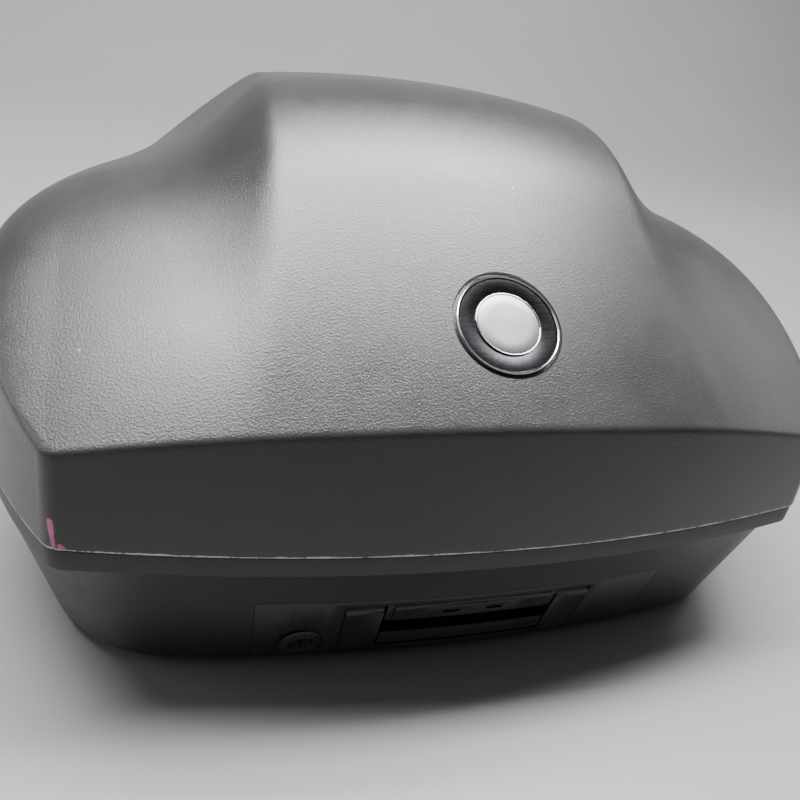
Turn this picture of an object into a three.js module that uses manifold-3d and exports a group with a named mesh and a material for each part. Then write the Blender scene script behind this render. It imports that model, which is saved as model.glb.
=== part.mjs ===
// Motorcycle top case: a hard two-part luggage case with a helmet hump.
// Millimetres, +Z up. The case stands on z = 0, the latch side faces -Y and
// the hinge side (towards the rider) faces +Y. x = 0 is the plane of symmetry.
import * as THREE from "three";
import { mergeVertices } from "three/addons/utils/BufferGeometryUtils.js";
import Module from "manifold-3d";

const wasm = await Module();
wasm.setup();

// ---------------------------------------------------------------- dimensions
const REAR_Y = -197.5; // the lid's rearmost edge
const HINGE_V = 389.5; // hinge axis, measured from the rear edge
const SEAM_Z = 104.5; // plane where the lid meets the tray
const SEAM_GAP = 0.6; // lid to tray
const WALL = 3.6; // wall thickness of both shells
const CENTRE_V = 190; // centre of the plan, measured from the rear edge

// plan outline at the seam: three bowed edges
const REAR_BOW = 4.6e-4; // rear edge: v = REAR_BOW x^2
const HALF_WIDTH = 283; // widest half, at v = WIDEST_V
const WIDEST_V = 185;
const SIDE_BOW = 2.05e-3; // side edge: |x| = HALF_WIDTH - SIDE_BOW (v - WIDEST_V)^2
const FRONT_V = 384.5; // front edge on the centre line
const FRONT_BOW = 2.2e-4;
const REAR_CORNER = 14; // corner rounding of the lid
const FRONT_CORNER = 70;

// lid
const CREASE_Z = 182; // top of the rear band on the centre line
const SIDE_CREASE_Z = 160; // top of the band at the corners, sides and front
const CREASE_HALF = 228; // half width over which the rear crease falls
const BAND_INSET = 3.5; // draft of the band
const REAR_SLOPE = 0.77; // rise per mm on the badge face
const STRAIGHT_RUN = 122; // length of the straight part of the badge face
const CURVE_RUN = 110; // length over which it levels out
const HUMP_HALF = 118; // half width of the hump at its edge
const FLANK_SLOPE = 1.02;
const WING_TOP_Z = 263;
const HUMP_FRONT_V = 215; // where the hump starts to round down to the front
const HUMP_CEILING_Z = 332;

// tray
const RIM_LOW = 91.5; // lower edge of the rim strip
const RIM_INSET = 0.8; // the rim stands this far inside the lid's edge
const WALL_STEP = 1.6; // the wall stands this far inside the lid's edge
const REAR_TAPER = Math.tan(THREE.MathUtils.degToRad(14));
const SIDE_TAPER = Math.tan(THREE.MathUtils.degToRad(16));
const FRONT_TAPER = Math.tan(THREE.MathUtils.degToRad(10));
const TRAY_CORNER = 40;
const BASE_Z = 3; // underside of the tray, above the feet
const BASE_RADIUS = 10;
const LEDGE_Z = 96; // shelf that carries the rim seal
const LEDGE_INSET = 10;

// mechanism bay behind the rear wall and the carrier channel underneath
const BAY_HALF = 134.5;
const BAY_V = 66;
const BAY_FLOOR_Z = 8.5;
const BAY_ROOF_Z = 84.5;
const CHANNEL_HALF = 75;
const CHANNEL_V = 72;
const CHANNEL_Z = 15;

// latch panel, carry handle and release lever, flush in the rear wall
const PANEL_HALF = 129.5;
const PANEL_LOW = 10;
const PANEL_TOP = 66;
const PANEL_THICK = 3;
const HANDLE_HALF = 78.5;
const HANDLE_LOW = 13.4;
const ARM_WIDTH = 22.5;
const BAR_TOP = 32.5;
const HANDLE_THICK = 10;
const HANDLE_AXIS_Z = 54;
const ARM_HEAD = 6.2;
const LEVER_HALF = 50;
const LEVER_LOW = 45;
const LEVER_AXIS_Z = 57;
const TUB_HALF = 82.6;
const TUB_BACK_V = 47.5;
const GAP = 0.3; // between pieces that touch
const LEVER_HEAD = 3.4; // radius of the lever's rounded top
const EDGE_GAP = 0.6; // visible joint round the moving pieces

// lock, latch bar and catches
const LOCK_X = -101;
const LOCK_Z = 26;
const WALL_TILT = Math.atan(REAR_TAPER);
const LATCH_TRAVEL = 9;
const CATCH_X = 94.5;

// hinges
const HINGE_Z = 104.8;
const HINGE_X = 150;
const KNUCKLE_R = 5.5;
const PIN_R = 2.5;

// badge
const BADGE_V = 52;
const BADGE_R = 30;
const POCKET_R = 31.9;
const POCKET_DEPTH = 2.6;

const SECTORS = 64;
const SECTOR_WARP = 0.0556; // draws the sectors together at the corners


// ------------------------------------------------------------------- helpers
const clamp = THREE.MathUtils.clamp;

function smoothMax(a, b, k) {
  const h = Math.max(k - Math.abs(a - b), 0) / k;
  return Math.max(a, b) + (h * h * k) / 4;
}

const smoothMin = (a, b, k) => -smoothMax(-a, -b, k);

// A mesh geometry as a manifold-3d solid, turned outwards if it is inside out.
function toSolid(geometry) {
  let g = geometry.clone();
  g.deleteAttribute("normal");
  g.deleteAttribute("uv");
  g = mergeVertices(g, 1e-4);
  let triVerts = new Uint32Array(g.index.array);
  const vertProperties = new Float32Array(g.attributes.position.array);
  let solid = new wasm.Manifold(
    new wasm.Mesh({ numProp: 3, vertProperties, triVerts }),
  );
  if (solid.volume() < 0) {
    triVerts = triVerts.slice().reverse();
    solid = new wasm.Manifold(
      new wasm.Mesh({ numProp: 3, vertProperties, triVerts }),
    );
  }
  return solid;
}

function toGeometry(solid) {
  const mesh = solid.getMesh();
  const g = new THREE.BufferGeometry();
  g.setAttribute(
    "position",
    new THREE.BufferAttribute(new Float32Array(mesh.vertProperties), 3),
  );
  g.setIndex(new THREE.BufferAttribute(new Uint32Array(mesh.triVerts), 1));
  g.computeVertexNormals();
  return g;
}

const join = (...solids) => solids.reduce((a, b) => a.add(b));
const cut = (solid, ...tools) => tools.reduce((a, b) => a.subtract(b), solid);

// A closed body through a chain of rings. The chain starts and ends at a point.
function chainSolid(chain) {
  const positions = [];
  const starts = [];
  for (const link of chain) {
    starts.push(positions.length / 3);
    for (const p of Array.isArray(link) ? link : [link]) {
      positions.push(p.x, p.y, p.z);
    }
  }
  const index = [];
  for (let i = 0; i + 1 < chain.length; i++) {
    const a = chain[i];
    const b = chain[i + 1];
    const n = Array.isArray(a) ? a.length : b.length;
    for (let j = 0; j < n; j++) {
      const k = (j + 1) % n;
      const a0 = starts[i] + (Array.isArray(a) ? j : 0);
      const a1 = starts[i] + (Array.isArray(a) ? k : 0);
      const b0 = starts[i + 1] + (Array.isArray(b) ? j : 0);
      const b1 = starts[i + 1] + (Array.isArray(b) ? k : 0);
      if (Array.isArray(a)) index.push(a0, a1, b0);
      if (Array.isArray(b)) index.push(a1, b1, b0);
    }
  }
  const g = new THREE.BufferGeometry();
  g.setAttribute("position", new THREE.Float32BufferAttribute(positions, 3));
  g.setIndex(index);
  return toSolid(g);
}

// A closed tube through rings that come back to the first one.
function loopSolid(rings) {
  const n = rings[0].length;
  const positions = rings.flat().flatMap((p) => [p.x, p.y, p.z]);
  const index = [];
  rings.forEach((_, i) => {
    const i1 = (i + 1) % rings.length;
    for (let j = 0; j < n; j++) {
      const j1 = (j + 1) % n;
      index.push(i * n + j, i * n + j1, i1 * n + j);
      index.push(i * n + j1, i1 * n + j1, i1 * n + j);
    }
  });
  const g = new THREE.BufferGeometry();
  g.setAttribute("position", new THREE.Float32BufferAttribute(positions, 3));
  g.setIndex(index);
  return toSolid(g);
}

function box(w, d, h, x, y, z, segments = 1) {
  return toSolid(
    new THREE.BoxGeometry(w, d, h, segments, 1, 1).translate(x, y, z),
  );
}

// A cylinder along the axis "x", "y" or "z", centred on the point.
function rod(radius, length, axis, x, y, z, sides = 20) {
  const g = new THREE.CylinderGeometry(radius, radius, length, sides);
  if (axis === "x") g.rotateZ(Math.PI / 2);
  if (axis === "z") g.rotateX(Math.PI / 2);
  return toSolid(g.translate(x, y, z));
}

// ------------------------------------------------------------- plan outlines
// Each outline is drawn by its distance functions, pulled in by `inset`
// (one number, or one each for rear, side and front).
function outlineValue(x, v, inset, rearCorner, frontCorner) {
  const rear = REAR_BOW * x * x + inset.rear - v;
  const side =
    Math.abs(x) - HALF_WIDTH + SIDE_BOW * (v - WIDEST_V) ** 2 + inset.side;
  const front = v - FRONT_V + FRONT_BOW * x * x + inset.front;
  return v < WIDEST_V
    ? smoothMax(rear, side, rearCorner)
    : smoothMax(front, side, frontCorner);
}

function outlineRadius(angle, inset, rearCorner, frontCorner) {
  let near = 20;
  let far = 420;
  for (let i = 0; i < 40; i++) {
    const r = (near + far) / 2;
    const x = r * Math.cos(angle);
    const v = CENTRE_V + r * Math.sin(angle);
    if (outlineValue(x, v, inset, rearCorner, frontCorner) > 0) far = r;
    else near = r;
  }
  return near;
}

const even = (inset) => ({ rear: inset, side: inset, front: inset });
const angles = Array.from({ length: SECTORS }, (_, i) => {
  const even = (i * 2 * Math.PI) / SECTORS;
  return even + SECTOR_WARP * Math.sin(4 * even);
});

function ring(inset, z, options = {}) {
  const { rearCorner = REAR_CORNER, frontCorner = FRONT_CORNER } = options;
  const { scale = 1 } = options;
  return angles.map((angle) => {
    const r = outlineRadius(angle, inset, rearCorner, frontCorner) * scale;
    const x = r * Math.cos(angle);
    const v = CENTRE_V + r * Math.sin(angle);
    const height = typeof z === "function" ? z(x, v) : z;
    return new THREE.Vector3(x, v + REAR_Y, height);
  });
}

// How far out a point of the plan lies, as a share of the lid's outline.
function outlineShare(x, v) {
  const angle = Math.atan2(v - CENTRE_V, x);
  const r = Math.hypot(x, v - CENTRE_V);
  const inset = even(BAND_INSET);
  return r / outlineRadius(angle, inset, REAR_CORNER, FRONT_CORNER);
}

// ------------------------------------------------------------- lid's surface
// Height of the badge face and the hump's top, before the flanks cut it.
function rearFace(x, v) {
  const t = Math.max(0, v - REAR_BOW * x * x - BAND_INSET);
  const bend = clamp(t - STRAIGHT_RUN, 0, CURVE_RUN);
  const rise =
    REAR_SLOPE * Math.min(t, STRAIGHT_RUN) +
    REAR_SLOPE * bend * (1 - bend / (2 * CURVE_RUN));
  const crown = 4.2e-4 + 4.4e-4 * Math.min(t / 207, 1);
  return CREASE_Z + rise - crown * x * x;
}

// Height of the crease that tops the band: highest at the middle of the rear.
function creaseHeight(x, v) {
  const side = Math.min(1, (x / CREASE_HALF) ** 2);
  const front = THREE.MathUtils.smoothstep(v, 20, 150);
  return SIDE_CREASE_Z + (CREASE_Z - SIDE_CREASE_Z) * (1 - side) * (1 - front);
}

// Height of the wings beside the hump. Behind the ridge they slope down to
// the rear; in front of it they round down to the whole outline.
function wing(x, v) {
  const base = creaseHeight(x, v);
  const half = HALF_WIDTH - BAND_INSET - SIDE_BOW * (v - WIDEST_V) ** 2;
  const rearV = REAR_BOW * x * x + BAND_INSET;
  const run = clamp((CENTRE_V - v) / (CENTRE_V - rearV), 0, 1);
  const reach = v < CENTRE_V ? Math.abs(x) / half : outlineShare(x, v);
  const across = (1 - Math.min(1, reach) ** 2.6) ** 0.3;
  return base + (WING_TOP_Z - base) * across * (1 - run * run);
}

function humpFront(x, v) {
  const frontV = FRONT_V - BAND_INSET - FRONT_BOW * x * x;
  const u = clamp((v - HUMP_FRONT_V) / (frontV - HUMP_FRONT_V), 0, 1);
  return (
    SIDE_CREASE_Z +
    (HUMP_CEILING_Z - SIDE_CREASE_Z) * Math.sqrt(1 - u ** 2.3)
  );
}

function lidHeight(x, v) {
  const flank =
    rearFace(HUMP_HALF, v) + FLANK_SLOPE * (HUMP_HALF - Math.abs(x));
  const sides = smoothMax(wing(x, v), flank, 26);
  return smoothMin(smoothMin(rearFace(x, v), sides, 12), humpFront(x, v), 24);
}

const LID_SCALES = [1, 0.985, 0.96, 0.92, 0.86, 0.79, 0.71, 0.62, 0.52, 0.42, 0.3, 0.16];

function lidSkin() {
  const outer = LID_SCALES.map((scale) =>
    ring(even(BAND_INSET), lidHeight, { scale }),
  );
  const pole = new THREE.Vector3(
    0,
    CENTRE_V + REAR_Y,
    lidHeight(0, CENTRE_V),
  );
  const inner = outer.map((points) =>
    points.map((p) => {
      const dx = p.x;
      const dy = p.y - REAR_Y - CENTRE_V;
      const shrink = 1 - WALL / 190;
      return new THREE.Vector3(
        dx * shrink,
        dy * shrink + CENTRE_V + REAR_Y,
        p.z - WALL,
      );
    }),
  );
  return chainSolid([
    pole,
    ...outer.slice().reverse(),
    ring(even(0), SEAM_Z + SEAM_GAP),
    ring(even(WALL + 0.4), SEAM_Z + SEAM_GAP),
    ...inner,
    pole.clone().setZ(pole.z - WALL),
  ]);
}

// --------------------------------------------------------------- lid's pieces
const V = (v) => v + REAR_Y; // distance from the rear edge to the y coordinate

// A box given by its limits, with the depth measured from the rear edge.
function block(x0, x1, v0, v1, z0, z1) {
  return box(
    x1 - x0,
    v1 - v0,
    z1 - z0,
    (x0 + x1) / 2,
    V((v0 + v1) / 2),
    (z0 + z1) / 2,
  );
}

// A block and its mirror image in x = 0.
const blockPair = (x0, x1, ...rest) =>
  join(block(x0, x1, ...rest), block(-x1, -x0, ...rest));

// Turned part standing on the badge face, with its profile as [r, height].
const faceTilt = Math.atan(REAR_SLOPE);
function onBadgeFace(profile, sides = 36) {
  const points = profile.map(([r, h]) => new THREE.Vector2(r, h));
  const g = new THREE.LatheGeometry(points, sides);
  g.rotateX(Math.PI / 2 + faceTilt);
  return toSolid(
    g.translate(0, V(BADGE_V), lidHeight(0, BADGE_V)),
  );
}

const disc = (r, low, high) => [
  [0, low],
  [r, low],
  [r, high],
  [0, high],
];
const washer = (r0, r1, low, high) => [
  [r0, low],
  [r1, low],
  [r1, high],
  [r0, high],
  [r0, low],
];

// Pad, leaf and screws of a hinge: the lid's share is above, the tray's below.
const LEAF_BACK_V = 381.7;
const LEAF_THICK = 3;
const LID_SCREW_Z = 126;
const TRAY_SCREW_Z = 82;
const SCREW_OFFSET = 17;
const SCREW_R = 2;

function hingeHoles(side, z, r) {
  return [-1, 1].map((k) =>
    rod(r, 14, "y", side * HINGE_X + k * SCREW_OFFSET, V(LEAF_BACK_V), z, 16),
  );
}

function lidShell() {
  const pads = [-1, 1].map((side) =>
    block(
      side * HINGE_X - 26,
      side * HINGE_X + 26,
      375,
      LEAF_BACK_V - GAP,
      111.5,
      138,
    ),
  );
  const catchPads = [-1, 1].map((side) =>
    block(side * CATCH_X - 9, side * CATCH_X + 9, 6.5, 10.5, 108, 127),
  );
  const boss = onBadgeFace(disc(POCKET_R + 4, -POCKET_DEPTH - 4, -1));
  const pocket = onBadgeFace(disc(POCKET_R, -POCKET_DEPTH, 8));
  return cut(
    join(lidSkin(), ...pads, ...catchPads, boss),
    pocket,
    ...hingeHoles(-1, LID_SCREW_Z, SCREW_R + 0.3),
    ...hingeHoles(1, LID_SCREW_Z, SCREW_R + 0.3),
  );
}

function hingeLeaf(side, isLid) {
  const x = side * HINGE_X;
  const half = isLid ? 24 : 31;
  const [low, high] = isLid ? [112, 137] : [70, 98];
  const plate = block(
    x - half,
    x + half,
    LEAF_BACK_V,
    LEAF_BACK_V + LEAF_THICK,
    low,
    high,
  );
  const spans = isLid ? [[-11.4, 11.4]] : [[-31, -11.8], [11.8, 31]];
  const knuckles = spans.map(([a, b]) => {
    const neck = isLid
      ? block(x + a, x + b, LEAF_BACK_V, HINGE_V, HINGE_Z, 113)
      : block(x + a, x + b, LEAF_BACK_V, HINGE_V, 97, HINGE_Z);
    const barrel = rod(
      KNUCKLE_R,
      b - a,
      "x",
      x + (a + b) / 2,
      V(HINGE_V),
      HINGE_Z,
      24,
    );
    return join(neck, barrel);
  });
  const bore = rod(PIN_R + 0.1, 80, "x", x, V(HINGE_V), HINGE_Z, 24);
  const screwZ = isLid ? LID_SCREW_Z : TRAY_SCREW_Z;
  return cut(
    join(plate, ...knuckles),
    bore,
    ...hingeHoles(side, screwZ, SCREW_R + 0.3),
  );
}

// A pan-head screw through a hinge leaf.
function hingeScrew(x, z) {
  const headV = LEAF_BACK_V + LEAF_THICK + GAP;
  const profile = [
    [0, -9.5],
    [SCREW_R, -9.5],
    [SCREW_R, 0],
    [4.4, 0],
    [4.2, 1.2],
    [3, 2.1],
    [0, 2.4],
  ];
  const points = profile.map(([r, h]) => new THREE.Vector2(r, h));
  const g = new THREE.LatheGeometry(points, 12);
  return toSolid(g.translate(x, V(headV), z));
}

function lidCatch(side) {
  const x = side * CATCH_X;
  const foot = block(x - 8, x + 8, 10.8, 14, 109, 126);
  const arm = block(x - 1.5, x + 1.5, 13.5, 32, 109, 116);
  const blade = block(x - 1.5, x + 1.5, 19.5, 32, 70, 110);
  const window_ = block(x - 5, x + 5, 22, 29, 73, 80);
  return cut(join(foot, arm, blade), window_);
}

// -------------------------------------------------------------- tray's pieces
// The tray's outside at a height, pulled in by `extra`.
function trayInset(z, extra) {
  const drop = RIM_LOW - z;
  return {
    rear: WALL_STEP + drop * REAR_TAPER + extra,
    side: WALL_STEP + drop * SIDE_TAPER + extra,
    front: WALL_STEP + drop * FRONT_TAPER + extra,
  };
}

const trayCorners = { rearCorner: TRAY_CORNER, frontCorner: FRONT_CORNER };

// Rings of the tray's wall from the base up, pulled in by `extra`.
function trayRings(extra, baseZ, top) {
  const rings = [52, 22, 0].map((angle) => {
    const a = THREE.MathUtils.degToRad(angle);
    const z = baseZ + BASE_RADIUS * (1 - Math.sin(a));
    const step = BASE_RADIUS * (1 - Math.cos(a));
    return ring(trayInset(z, extra + step), z, trayCorners);
  });
  const flat = ring(
    trayInset(baseZ, extra + BASE_RADIUS),
    baseZ,
    trayCorners,
  );
  return [flat, ...rings, ring(trayInset(top, extra), top, trayCorners)];
}

// The tray's outside as a full solid, pulled in by `extra`.
function trayBody(extra) {
  return chainSolid([
    new THREE.Vector3(0, V(CENTRE_V), BASE_Z + extra),
    ...trayRings(extra, BASE_Z + extra, RIM_LOW),
    ring(even(RIM_INSET + extra), RIM_LOW + 0.8),
    ring(even(RIM_INSET + extra), SEAM_Z),
    new THREE.Vector3(0, V(CENTRE_V), SEAM_Z),
  ]);
}

// The space inside the tray.
function trayCavity() {
  return chainSolid([
    new THREE.Vector3(0, V(CENTRE_V), BASE_Z + WALL),
    ...trayRings(WALL, BASE_Z + WALL, RIM_LOW - 6),
    ring(even(LEDGE_INSET), RIM_LOW),
    ring(even(LEDGE_INSET), LEDGE_Z),
    ring(even(RIM_INSET + WALL), LEDGE_Z + 0.05),
    ring(even(RIM_INSET + WALL), SEAM_Z + 5),
    new THREE.Vector3(0, V(CENTRE_V), SEAM_Z + 5),
  ]);
}

const trayOuter = trayBody(0);
const RAIL_V = 42;

// Depth of the rear wall's face at a place on it.
const wallV = (x, z) =>
  WALL_STEP + (RIM_LOW - z) * REAR_TAPER + REAR_BOW * x * x;

const HANDLE_AXIS_V =
  wallV(HANDLE_HALF - ARM_WIDTH / 2, HANDLE_AXIS_Z) + ARM_HEAD;
const LEVER_AXIS_V = wallV(34, LEVER_AXIS_Z) + LEVER_HEAD;

function trayShell() {
  const cavity = trayCavity();
  const bayBlock = block(
    -BAY_HALF - 3.5,
    BAY_HALF + 3.5,
    5,
    BAY_V + 3.5,
    4,
    BAY_ROOF_Z + 3.5,
  );
  const channelBlock = block(
    -CHANNEL_HALF - 3.5,
    CHANNEL_HALF + 3.5,
    BAY_V,
    400,
    4,
    CHANNEL_Z + 3.5,
  );
  const interior = cut(cavity, bayBlock, channelBlock);
  const bay = cavity.intersect(
    block(-BAY_HALF, BAY_HALF, 0, BAY_V, BAY_FLOOR_Z, BAY_ROOF_Z),
  );
  const opening = block(
    -PANEL_HALF - GAP,
    PANEL_HALF + GAP,
    -5,
    45,
    PANEL_LOW - GAP,
    PANEL_TOP + GAP,
  );
  const channel = block(
    -CHANNEL_HALF,
    CHANNEL_HALF,
    CHANNEL_V,
    420,
    -5,
    CHANNEL_Z,
  );
  const catchSlots = [-1, 1].map((side) => {
    const x = side * CATCH_X;
    return block(x - 8, x + 8, 15, 36, BAY_ROOF_Z - 1, BAY_ROOF_Z + 6);
  });
  const tongueSlot = block(-12.6, 12.6, 60, 80, 8.9, 13.3);
  const guides = cut(
    blockPair(50, 60, RAIL_V - 2, RAIL_V + 6, 72, BAY_ROOF_Z + 1),
    blockPair(45, 65, RAIL_V - 0.3, RAIL_V + 4.3, 73.7, 81.3),
  );
  const pads = [-1, 1].map((side) => {
    const x = side * HINGE_X;
    return block(x - 33, x + 33, 368, LEAF_BACK_V - GAP, 69, 97.5);
  });
  return cut(
    join(cut(trayOuter, interior, bay), guides, ...pads),
    opening,
    channel,
    ...catchSlots,
    tongueSlot,
    cavity.intersect(block(-260, 260, 330, 400, 60, 110)),
    ...hingeHoles(-1, TRAY_SCREW_Z, SCREW_R + 0.3),
    ...hingeHoles(1, TRAY_SCREW_Z, SCREW_R + 0.3),
    ...footSpots.map(([x, v]) => rod(3.3, 3, "z", x, V(v), BASE_Z + 1, 16)),
  );
}

const footSpots = [
  [-165, 85],
  [165, 85],
  [-150, 330],
  [150, 330],
];

function rimSeal() {
  return loopSolid([
    ring(even(4.9), LEDGE_Z + GAP),
    ring(even(4.9), 105.6),
    ring(even(6.9), 106.9),
    ring(even(8.9), 105.6),
    ring(even(8.9), LEDGE_Z + GAP),
  ]);
}

// The tray's outer skin of the given thickness, flush with the wall.
const skin = (thick) => cut(trayOuter, trayBody(thick));

function latchPanel() {
  const plate = skin(PANEL_THICK).intersect(
    block(-PANEL_HALF, PANEL_HALF, 0, 60, PANEL_LOW, PANEL_TOP),
  );
  const handleWindow = block(
    -HANDLE_HALF - EDGE_GAP,
    HANDLE_HALF + EDGE_GAP,
    0,
    60,
    HANDLE_LOW - EDGE_GAP,
    HANDLE_AXIS_Z + ARM_HEAD + EDGE_GAP,
  );
  return cut(plate, handleWindow, lockRod(10.9, -8, 40), lockRod(13, -8, -0.05));
}

// Moulded pocket behind the handle, open to the rear.
function recessTub() {
  const skinBack = trayBody(PANEL_THICK + GAP);
  const shell = block(
    -TUB_HALF,
    TUB_HALF,
    0,
    TUB_BACK_V,
    PANEL_LOW,
    PANEL_TOP,
  );
  const hollow = block(
    -HANDLE_HALF - EDGE_GAP,
    HANDLE_HALF + EDGE_GAP,
    0,
    TUB_BACK_V - 2.5,
    HANDLE_LOW - EDGE_GAP,
    PANEL_TOP - 1.6,
  );
  const posts = blockPair(
    LEVER_HALF + 0.4,
    LEVER_HALF + 4.4,
    10,
    TUB_BACK_V,
    LEVER_LOW,
    60.4,
  ).intersect(trayBody(0.6));
  return cut(
    join(cut(shell.intersect(skinBack), hollow), posts),
    rod(2.15, 400, "x", 0, V(HANDLE_AXIS_V), HANDLE_AXIS_Z, 16),
    rod(1.6, 400, "x", 0, V(LEVER_AXIS_V), LEVER_AXIS_Z, 16),
    block(-4.6, 4.6, 12.6, 50, 62.6, 70),
  );
}

function carryHandle() {
  const slab = skin(HANDLE_THICK);
  const arm = ARM_WIDTH;
  const arms = blockPair(
    HANDLE_HALF - arm,
    HANDLE_HALF,
    0,
    60,
    HANDLE_LOW,
    HANDLE_AXIS_Z,
  );
  const bar = block(-HANDLE_HALF, HANDLE_HALF, 0, 60, HANDLE_LOW, BAR_TOP);
  const swing = rod(
    40.6,
    200,
    "x",
    0,
    V(HANDLE_AXIS_V),
    HANDLE_AXIS_Z,
    64,
  );
  const heads = [-1, 1].map((side) =>
    rod(
      ARM_HEAD,
      arm,
      "x",
      side * (HANDLE_HALF - arm / 2),
      V(HANDLE_AXIS_V),
      HANDLE_AXIS_Z,
      32,
    ),
  );
  return cut(
    join(slab.intersect(join(arms, bar)).intersect(swing), ...heads),
    rod(2.15, 60, "x", 86.5, V(HANDLE_AXIS_V), HANDLE_AXIS_Z, 16),
    rod(2.15, 60, "x", -86.5, V(HANDLE_AXIS_V), HANDLE_AXIS_Z, 16),
  );
}

function releaseLever() {
  const plate = skin(5).intersect(
    block(-LEVER_HALF, LEVER_HALF, 0, 40, LEVER_LOW, LEVER_AXIS_Z),
  );
  const head = rod(
    LEVER_HEAD,
    2 * LEVER_HALF,
    "x",
    0,
    V(LEVER_AXIS_V),
    LEVER_AXIS_Z,
    24,
  );
  const lug = block(-4, 4, LEVER_AXIS_V, LEVER_AXIS_V + 4, 56, 67.8);
  const slots = [-14, 14].map((x) => block(x - 5, x + 5, 0, 18.4, 49, 52));
  return cut(
    join(plate, head, lug),
    rod(1.6, 400, "x", 0, V(LEVER_AXIS_V), LEVER_AXIS_Z, 16),
    ...slots.map((s) => s.intersect(trayOuter).subtract(trayBody(2))),
  );
}

// --------------------------------------------------------------- mechanism
const ROCKER_V = 55;
const ROCKER_Z = 38;

function pushRod() {
  return block(-4, 4, LEVER_AXIS_V + 4.4, ROCKER_V - 3.4, 63.2, 67.6);
}

function releaseRocker() {
  const blade = block(-8, 8, ROCKER_V - 3, ROCKER_V + 3, 9.6, 68);
  const hub = rod(6, 16, "x", 0, V(ROCKER_V), ROCKER_Z, 24);
  const bore = rod(2.1, 40, "x", 0, V(ROCKER_V), ROCKER_Z, 16);
  return cut(join(blade, hub), bore);
}

function rockerPin() {
  return rod(2, 33.4, "x", 0, V(ROCKER_V), ROCKER_Z, 16);
}

// Forked bracket that carries the rocker, fixed to the bay's front wall.
function rockerBracket() {
  const plate = block(-17, 17, BAY_V - 3.3, BAY_V - GAP, 27, 49);
  const ears = blockPair(9, 12.5, ROCKER_V - 5, BAY_V - 1, 31, 45);
  const bore = rod(2.1, 60, "x", 0, V(ROCKER_V), ROCKER_Z, 16);
  return cut(join(plate, ears), bore);
}

// A side profile of [depth, height] points, extruded across from x0 to x1.
function across(points, x0, x1) {
  const shape = new THREE.Shape(
    points.map(([v, z]) => new THREE.Vector2(V(v), z)),
  );
  const g = new THREE.ExtrudeGeometry(shape, {
    depth: x1 - x0,
    bevelEnabled: false,
  });
  g.rotateY(Math.PI / 2).rotateX(Math.PI / 2);
  return toSolid(g.translate(x0, 0, 0));
}

function mountTongue() {
  const start = ROCKER_V + 3.8;
  const profile = [
    [start, 9.4],
    [82, 9.4],
    [82, 10.2],
    [79.2, 12.8],
    [start, 12.8],
  ];
  return across(profile, -12, 12);
}

// A cylinder along the wall's normal at the lock, from `out` to `deep`.
function lockRod(radius, out, deep, sides = 32) {
  const g = new THREE.CylinderGeometry(radius, radius, deep - out, sides);
  return toSolid(inLockFrame(g.translate(0, (deep + out) / 2, 0)));
}

// Moves a geometry whose +Y points into the case to the lock's place.
function inLockFrame(g) {
  const v = V(wallV(LOCK_X, LOCK_Z));
  return g.rotateX(WALL_TILT).translate(LOCK_X, v, LOCK_Z);
}

function lockHousing() {
  return cut(
    join(lockRod(10.6, -1, 20), lockRod(12.6, -1.4, -0.35)),
    lockRod(7.1, -5, 25),
  );
}

function lockPlug() {
  const slot = toSolid(
    inLockFrame(new THREE.BoxGeometry(1.5, 6, 8).translate(0, -1, 0)),
  );
  return cut(lockRod(6.8, -1.2, 20.4), slot);
}

function lockCam() {
  const plate = toSolid(
    inLockFrame(new THREE.BoxGeometry(10, 2.4, 18).translate(0, 22, 4)),
  );
  const pin = new THREE.CylinderGeometry(1.6, 1.6, 9, 16);
  const crank = toSolid(inLockFrame(pin.translate(0, 27, LATCH_TRAVEL)));
  return join(plate, crank);
}

// Sliding bar under the bay's roof. Its fingers enter the lid's catches and
// its fork straddles the crank of the lock.
function latchBar() {
  const rail = block(-112, 96, RAIL_V, RAIL_V + 4, 74, 81);
  const fingers = [-CATCH_X - 11, CATCH_X - 11].map((x) =>
    join(
      block(x - 5, x - 1, 23, RAIL_V + 1, 74.5, 78.5),
      block(x - 5, x + 7, 23, 27.6, 74.5, 78.5),
    ),
  );
  const bridge = block(LOCK_X - 8, LOCK_X + 8, RAIL_V, 48.6, 74, 81);
  const prongs = [-6.4, 6.4].map((x) =>
    block(LOCK_X + x - 2, LOCK_X + x + 2, 46, 48.6, 29.5, 75),
  );
  return join(rail, bridge, ...prongs, ...fingers);
}

// ------------------------------------------------------------ carrier, inside
function carrierRail(side) {
  const inner = CHANNEL_HALF - GAP;
  const flange = block(inner - 9, inner, 110, 340, 4, 6.2);
  const web = block(inner - 2.2, inner, 110, 340, 4, CHANNEL_Z - 2.2);
  const rail = join(flange, web);
  return side > 0 ? rail : rail.mirror([1, 0, 0]);
}

function foot(x, v) {
  const profile = [
    [0, 0],
    [8, 0],
    [9, 0.8],
    [9, BASE_Z - GAP],
    [3, BASE_Z - GAP],
    [3, BASE_Z + 2],
    [0, BASE_Z + 2],
  ];
  const points = profile.map(([r, h]) => new THREE.Vector2(r, h));
  const g = new THREE.LatheGeometry(points, 18);
  return toSolid(g.rotateX(Math.PI / 2).translate(x, V(v), 0));
}

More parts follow.
